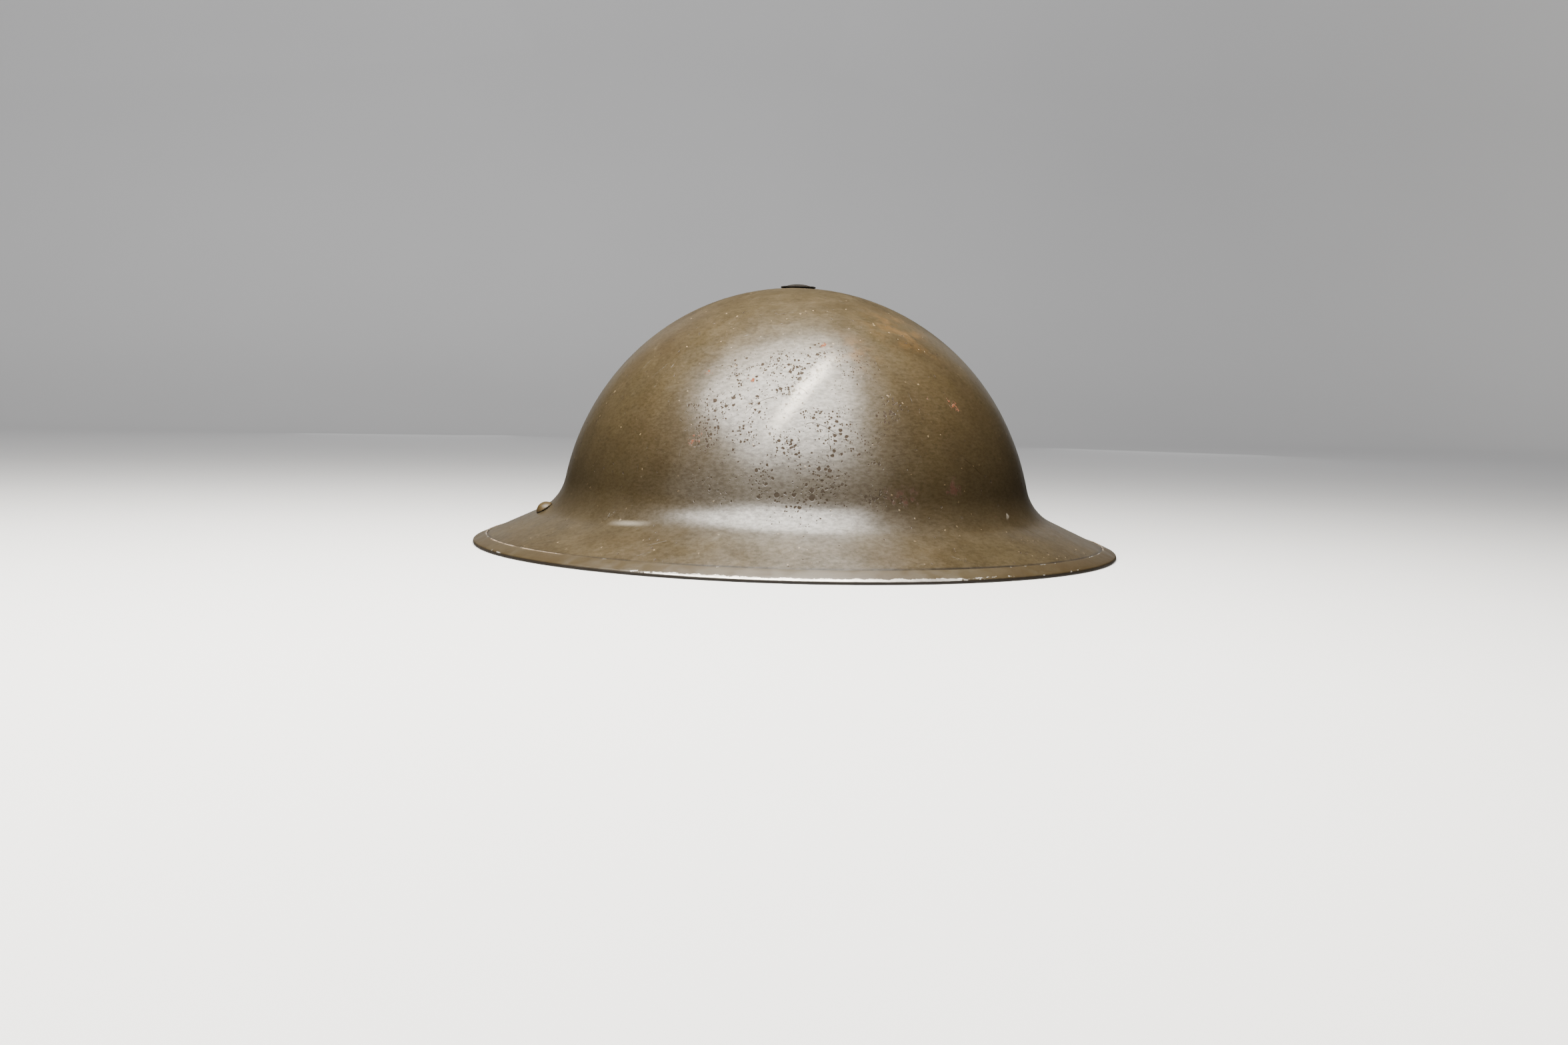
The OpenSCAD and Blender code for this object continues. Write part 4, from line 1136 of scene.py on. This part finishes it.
def crown_strap(name, node, reach, top, turn):
    """A fibre strap from one side of the headband over the crown to the other."""
    half = crown_line(reach, top)
    line = [Vector((-p[0], p[1])) for p in reversed(half[1:])] + half
    widths = [STRAP_WIDTH] * len(line)
    for k, width in enumerate(STRAP_ENDS):
        widths[k] = widths[-1 - k] = width
    piece = strip(name, line, widths, STRAP_SHEET, 10, turn)
    bevelled(piece, 0.22, 60)
    settle(piece)
    smooth(piece, 35)
    return coat(piece, FIBRE, stands_for=[node])


def headed_rivets():
    """Eight tubular rivets: a domed head with a small hole outside, a curled tail inside."""
    profile = [(0.55, 0.2), (0.6, 1.1), (0.85, 1.38), (1.4, 1.33), (2.2, 1.08), (2.9, 0.7), (3.35, 0.32), (3.5, 0.08),
               (3.3, 0.0), (1.3, 0.0), (1.3, -2.2), (1.3, -2.32), (0.9, -2.32), (0.5, -2.0), (0.5, -1.0)]
    rivets = turned("tubular_rivets", profile, 28, joined=True)
    outwards(rivets)
    lying = Matrix.Rotation(math.pi / 2, 4, "Y")
    spread_out(rivets, [Matrix.Rotation(end + across, 4, "Z")
                        @ Matrix.Translation(Vector((reach, s * RIVET_ASIDE, (HOOP_TOP + LAP_LOW) / 2)) * MM) @ lying
                        for reach, across in ((LAP_OUT[0], 0), (LAP_OUT[1], math.pi / 2))
                        for end in (0, math.pi) for s in (-1, 1)])
    smooth(rivets, 40)
    return coat(rivets, BRASS, stands_for=["liner_rivets"])


def at_side(thing, side):
    """Moves a piece made round the origin, +Z out of the steel, to a side's lug rivet."""
    thing.data.transform(Matrix.Rotation(0 if side > 0 else math.pi, 4, "Z") @ Matrix.Translation(LUG_AT * MM)
                         @ Matrix.Rotation(LUG_SLOPE, 4, "Y"))
    return thing


def lug_rivet(side, word):
    """The lug's rivet: a dome outside, its edge hammered down, a flattened tail below."""
    seat = 0.5 + 16 / 43 + 0.05
    profile = [(1.2, TAIL_LOW), (2.2, TAIL_LOW), (2.62, TAIL_LOW + 0.16), (2.8, TAIL_LOW + 0.45),
               (2.72, TAIL_LOW + 0.82), (2.3, TAIL_LOW + 1.0), (2.0, TAIL_LOW + 1.05), (2.0, seat - 0.02),
               (3.75, seat), (3.98, seat + 0.14), (3.98, seat + 0.34)]
    profile += dome(RIVET_HEAD, RIVET_RISE, seat, RIVET_HEAD - 0.1, 8.8)
    piece = turned("domed_rivet_" + word, profile, 40)
    for end in (1, -1):
        close_end(piece, end, 0.0001)
    outwards(piece)
    at_side(piece, side)
    smooth(piece, 40)
    return coat(piece, RIVET, stands_for=["lug_rivet_" + word])


for node, name, width, finish, slot_name in (
        ("crown_washer", "spacing_washer", 0.2, PLATED, "plain_steel"),
        ("clamp_plate", "clamping_plate", 0.25, PLATED, "plain_steel"),
        ("crown_nut", "hexagon_nut", 0.3, PLATED, "plain_steel"),
        ("lug_left", "folded_lug_left", 0.16, LUG, "lug_steel"),
        ("lug_right", "folded_lug_right", 0.16, LUG, "lug_steel")):
    eased(node, name, width, finish)
head_band()
sweat_band()
crown_strap("fibre_strap_fore_aft", "strap_fore_aft", LAP_OUT[1] - 0.5, 113.452 - 0.5, math.pi / 2)
crown_strap("fibre_strap_ear_to_ear", "strap_ear_to_ear", LAP_OUT[0] - 0.5, 112.452 - 0.5, 0.0)
headed_rivets()
for side, word in SIDES:
    lug_rivet(side, word)
crown_cushion = moulded("crown_pad", "sponge_crown_pad", 1.3, 7, SPONGE)
for word in ("front", "rear", "left", "right"):
    moulded("buffer_" + word, "moulded_buffer_" + word, 0.8, 5, BUFFER)


# ---------------------------------------------------------------- chin strap
WEB_SHEET, WEB_WIDTH, LOOP_WIDTH = 1.6, 18.6, 18.8
WEB_UP, WEB_TOP = Vector((69, 38.951)), Vector((0, 92.152))
LOOP_ROUND, LOOP_END, LOOP_JOIN = 2.5, 25.9, 5.2
INWARD, SQUARE = Vector((-math.cos(TAIL_RISE), math.sin(TAIL_RISE))), Vector((math.sin(TAIL_RISE), math.cos(TAIL_RISE)))


def web_line(steps=18):
    """The stowed webbing's middle line, from the left tail over under the crown pad to the right one."""
    start = BAR + 26.3 * INWARD
    half = [bezier(start, start + 7 * INWARD, WEB_UP - Vector((0, 17)), WEB_UP, i / steps) for i in range(steps)]
    half += [bezier(WEB_UP, WEB_UP + Vector((0, 0.5 * (WEB_TOP[1] - WEB_UP[1]))),
                    Vector((0.54 * WEB_UP[0], WEB_TOP[1])), WEB_TOP, i / steps) for i in range(steps + 1)]
    return half + [Vector((-p[0], p[1])) for p in reversed(half[:-1])]


def loop_line():
    """Out along the tail's upper layer, round the bail's bar and back below, as (along the tail, square to it)."""
    run = [(LOOP_END - (LOOP_END - LOOP_JOIN) * i / 10, 0.92) for i in range(11)]
    run += [(4.3, 1.02), (3.3, 1.35), (2.4, 1.85)]
    return run + arc(LOOP_ROUND, 52, 308, 12) + [(along, -off) for along, off in reversed(run)]


def webbing(name, line, width, turn=0.0):
    """A length of webbing along a line, and how long it is in metres."""
    piece = strip(name, line, [width] * len(line), WEB_SHEET, 10, turn)
    settle(piece)
    bevelled(piece, 0.45, 60)
    smooth(piece, 50)
    return piece, sum((line[i] - line[i - 1]).length for i in range(1, len(line))) * MM


def webbing_middle():
    """The part between the clips, stowed as an arch."""
    strap, length = webbing("webbing_middle", web_line(), WEB_WIDTH)
    coat(strap, WEBBING, stands_for=["chin_strap"])


def webbing_loop(side, word):
    """The strap's doubled end, sewn round the bail's bar beside the clip."""
    line = [BAR + INWARD * along + SQUARE * off for along, off in loop_line()]
    loop, length = webbing("webbing_loop_" + word, line, LOOP_WIDTH, 0.0 if side > 0 else math.pi)
    cover(loop, WEBBING)
    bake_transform(loop)
    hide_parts("strap_loop_" + word)


webbing_middle()
for side, word in SIDES:
    webbing_loop(side, word)
    eased("strap_clip_" + word, "crimped_clip_" + word, 0.18, CLIP)


# ---------------------------------------------------------------- CAD nodes that stay
for node in ("bail_left", "bail_right"):
    cover(bpy.data.objects[node], WIRE)


# ---------------------------------------------------------------- floor and light
FLOOR_SIZE, FLOOR_MIDDLE, COVE, COVE_STEPS, WALL = 9.0, -2.9, 0.7, 12, 4.5
FLOOR_SEEN = (0.56, 0.56, 0.565), (0.60, 0.60, 0.605)
FLOOR_BOUNCE = (0.036, 0.032, 0.026), (0.095, 0.095, 0.095)  # what it gives back to the helmet, low and high
FLOOR_GLOW = (0.10, 0.10, 0.103), (0.34, 0.333, 0.323)  # evens out its tone to the eye, near and far
WARM_LIGHT, VEIL_LIGHT, WHITE = (1.0, 0.965, 0.895), (1.0, 0.96, 0.89), (1, 1, 1)
LAMPS = (  # name, place, target, size, watts, tint, whether it shows in gloss
    ("overhead_box", (-0.18, -0.29, 0.54), (-0.18, -0.29, 0), (0.58, 0.60), 28, WARM_LIGHT, True),
    ("front_veil", (-0.378, -0.68, 0.45), (0, -0.1, 0.05), (2.0, 0.5), 4.8, VEIL_LIGHT, True),
    ("rear_left_strip", (-0.20, 1.5, 0.40), (0, 0, 0.06), (0.3, 1.0), 0.35, WHITE, True),
    ("rear_right_strip", (0.85, 1.25, 0.40), (0, 0, 0.06), (0.3, 1.0), 0.35, WHITE, True),
    ("backdrop_wash", (0, 0.7, 2.6), (0.3, 2.2, 0.9), (4.0, 0.6), 48, WHITE, False),
    ("under_box", (0, 0, -0.8), (0, 0, 0.06), (1.2, 1.2), 45, WHITE, True))


def pale_floor():
    """A pale matt finish that lets the eye and the light through from below."""
    finish, tree, shader, where = begin("pale_floor", Roughness=0.9, Emission_Strength=1.0)
    x, y, height = axes(tree, where)
    rays = put(tree, "ShaderNodeLightPath").outputs
    seen = mixed(tree, noise(tree, where, 3.0, 3.0), *FLOOR_SEEN)
    bounce = mixed(tree, between(tree, height, 0.02, 0.5), *FLOOR_BOUNCE)
    aside = most(tree, between(tree, size_of(tree, x), 1.0, 3.2), between(tree, y, -0.7, -2.8))
    glow = mixed(tree, aside, *FLOOR_GLOW)
    feed(tree, shader, Base_Color=mixed(tree, rays["Is Camera Ray"], bounce, seen),
         Emission_Color=mixed(tree, rays["Is Camera Ray"], (0, 0, 0), glow))
    opaque = shader["Roughness"].node.outputs[0]
    surface = opaque.links[0].to_socket
    back = put(tree, "ShaderNodeNewGeometry").outputs["Backfacing"]
    clear = tree.nodes.new("ShaderNodeBsdfTransparent").outputs[0]
    passing = put(tree, "ShaderNodeMixShader", {0: most(tree, back, rays["Is Shadow Ray"]), 1: opaque, 2: clear})
    tree.links.new(passing.outputs[0], surface)
    return finish


def lay_floor():
    """A pale seamless sheet: floor, cove and back wall."""
    nothing_chosen()
    bpy.ops.mesh.primitive_plane_add(size=FLOOR_SIZE, location=(0, FLOOR_MIDDLE, 0))
    floor = named("pale_floor")
    bm = editing(floor, "EDGE")
    for e in bm.edges:
        e.select = all(v.co.y > FLOOR_SIZE / 2 - 0.1 for v in e.verts)
    bmesh.update_edit_mesh(floor.data)
    cove = arc(COVE, 0, 90, COVE_STEPS)
    for (c0, s0), (c1, s1) in zip(cove, cove[1:]):
        bpy.ops.mesh.extrude_region_move(TRANSFORM_OT_translate={"value": (0, s1 - s0, c0 - c1)})
    bpy.ops.mesh.extrude_region_move(TRANSFORM_OT_translate={"value": (0, 0, WALL)})
    done()
    settle(floor)
    smooth(floor, 60)
    cover(floor, pale_floor())


def softbox(name, place, target, size, power, tint, mirrored):
    """A rectangular light, its width level with the floor from side to side."""
    lamp = bpy.data.lights.new(name, "AREA")
    lamp.shape = "RECTANGLE"
    lamp.size, lamp.size_y = size
    lamp.energy = power
    lamp.color = tint
    box = bpy.data.objects.new(name, lamp)
    away = (Vector(place) - Vector(target)).normalized()
    across = Vector((1, 0, 0)) if abs(away.x) < 0.8 else Vector((0, 1, 0))
    long = away.cross(across).normalized()
    box.visible_camera = False
    box.visible_glossy = mirrored
    box.matrix_world = Matrix.Translation(place) @ turned_to(long.cross(away), long, away)
    bpy.context.collection.objects.link(box)


def light_studio():
    """The softboxes, and a dim world that is lighter above."""
    for lamp in LAMPS:
        softbox(*lamp)
    world = bpy.data.worlds.new("studio")
    world.use_nodes = True
    tree = world.node_tree
    tree.nodes.clear()
    upwards = axes(tree, tree.nodes.new("ShaderNodeTexCoord").outputs["Generated"])[2]
    around = between(tree, upwards, 0.0, 0.9, 0.010, 0.085)
    seen = times(tree, put(tree, "ShaderNodeLightPath").outputs["Is Camera Ray"], 0.36)
    light = put(tree, "ShaderNodeBackground", {"Color": (1.0, 0.98, 0.95), "Strength": most(tree, around, seen)})
    tree.links.new(light.outputs[0], tree.nodes.new("ShaderNodeOutputWorld").inputs["Surface"])
    bpy.context.scene.world = world


lay_floor()
light_studio()
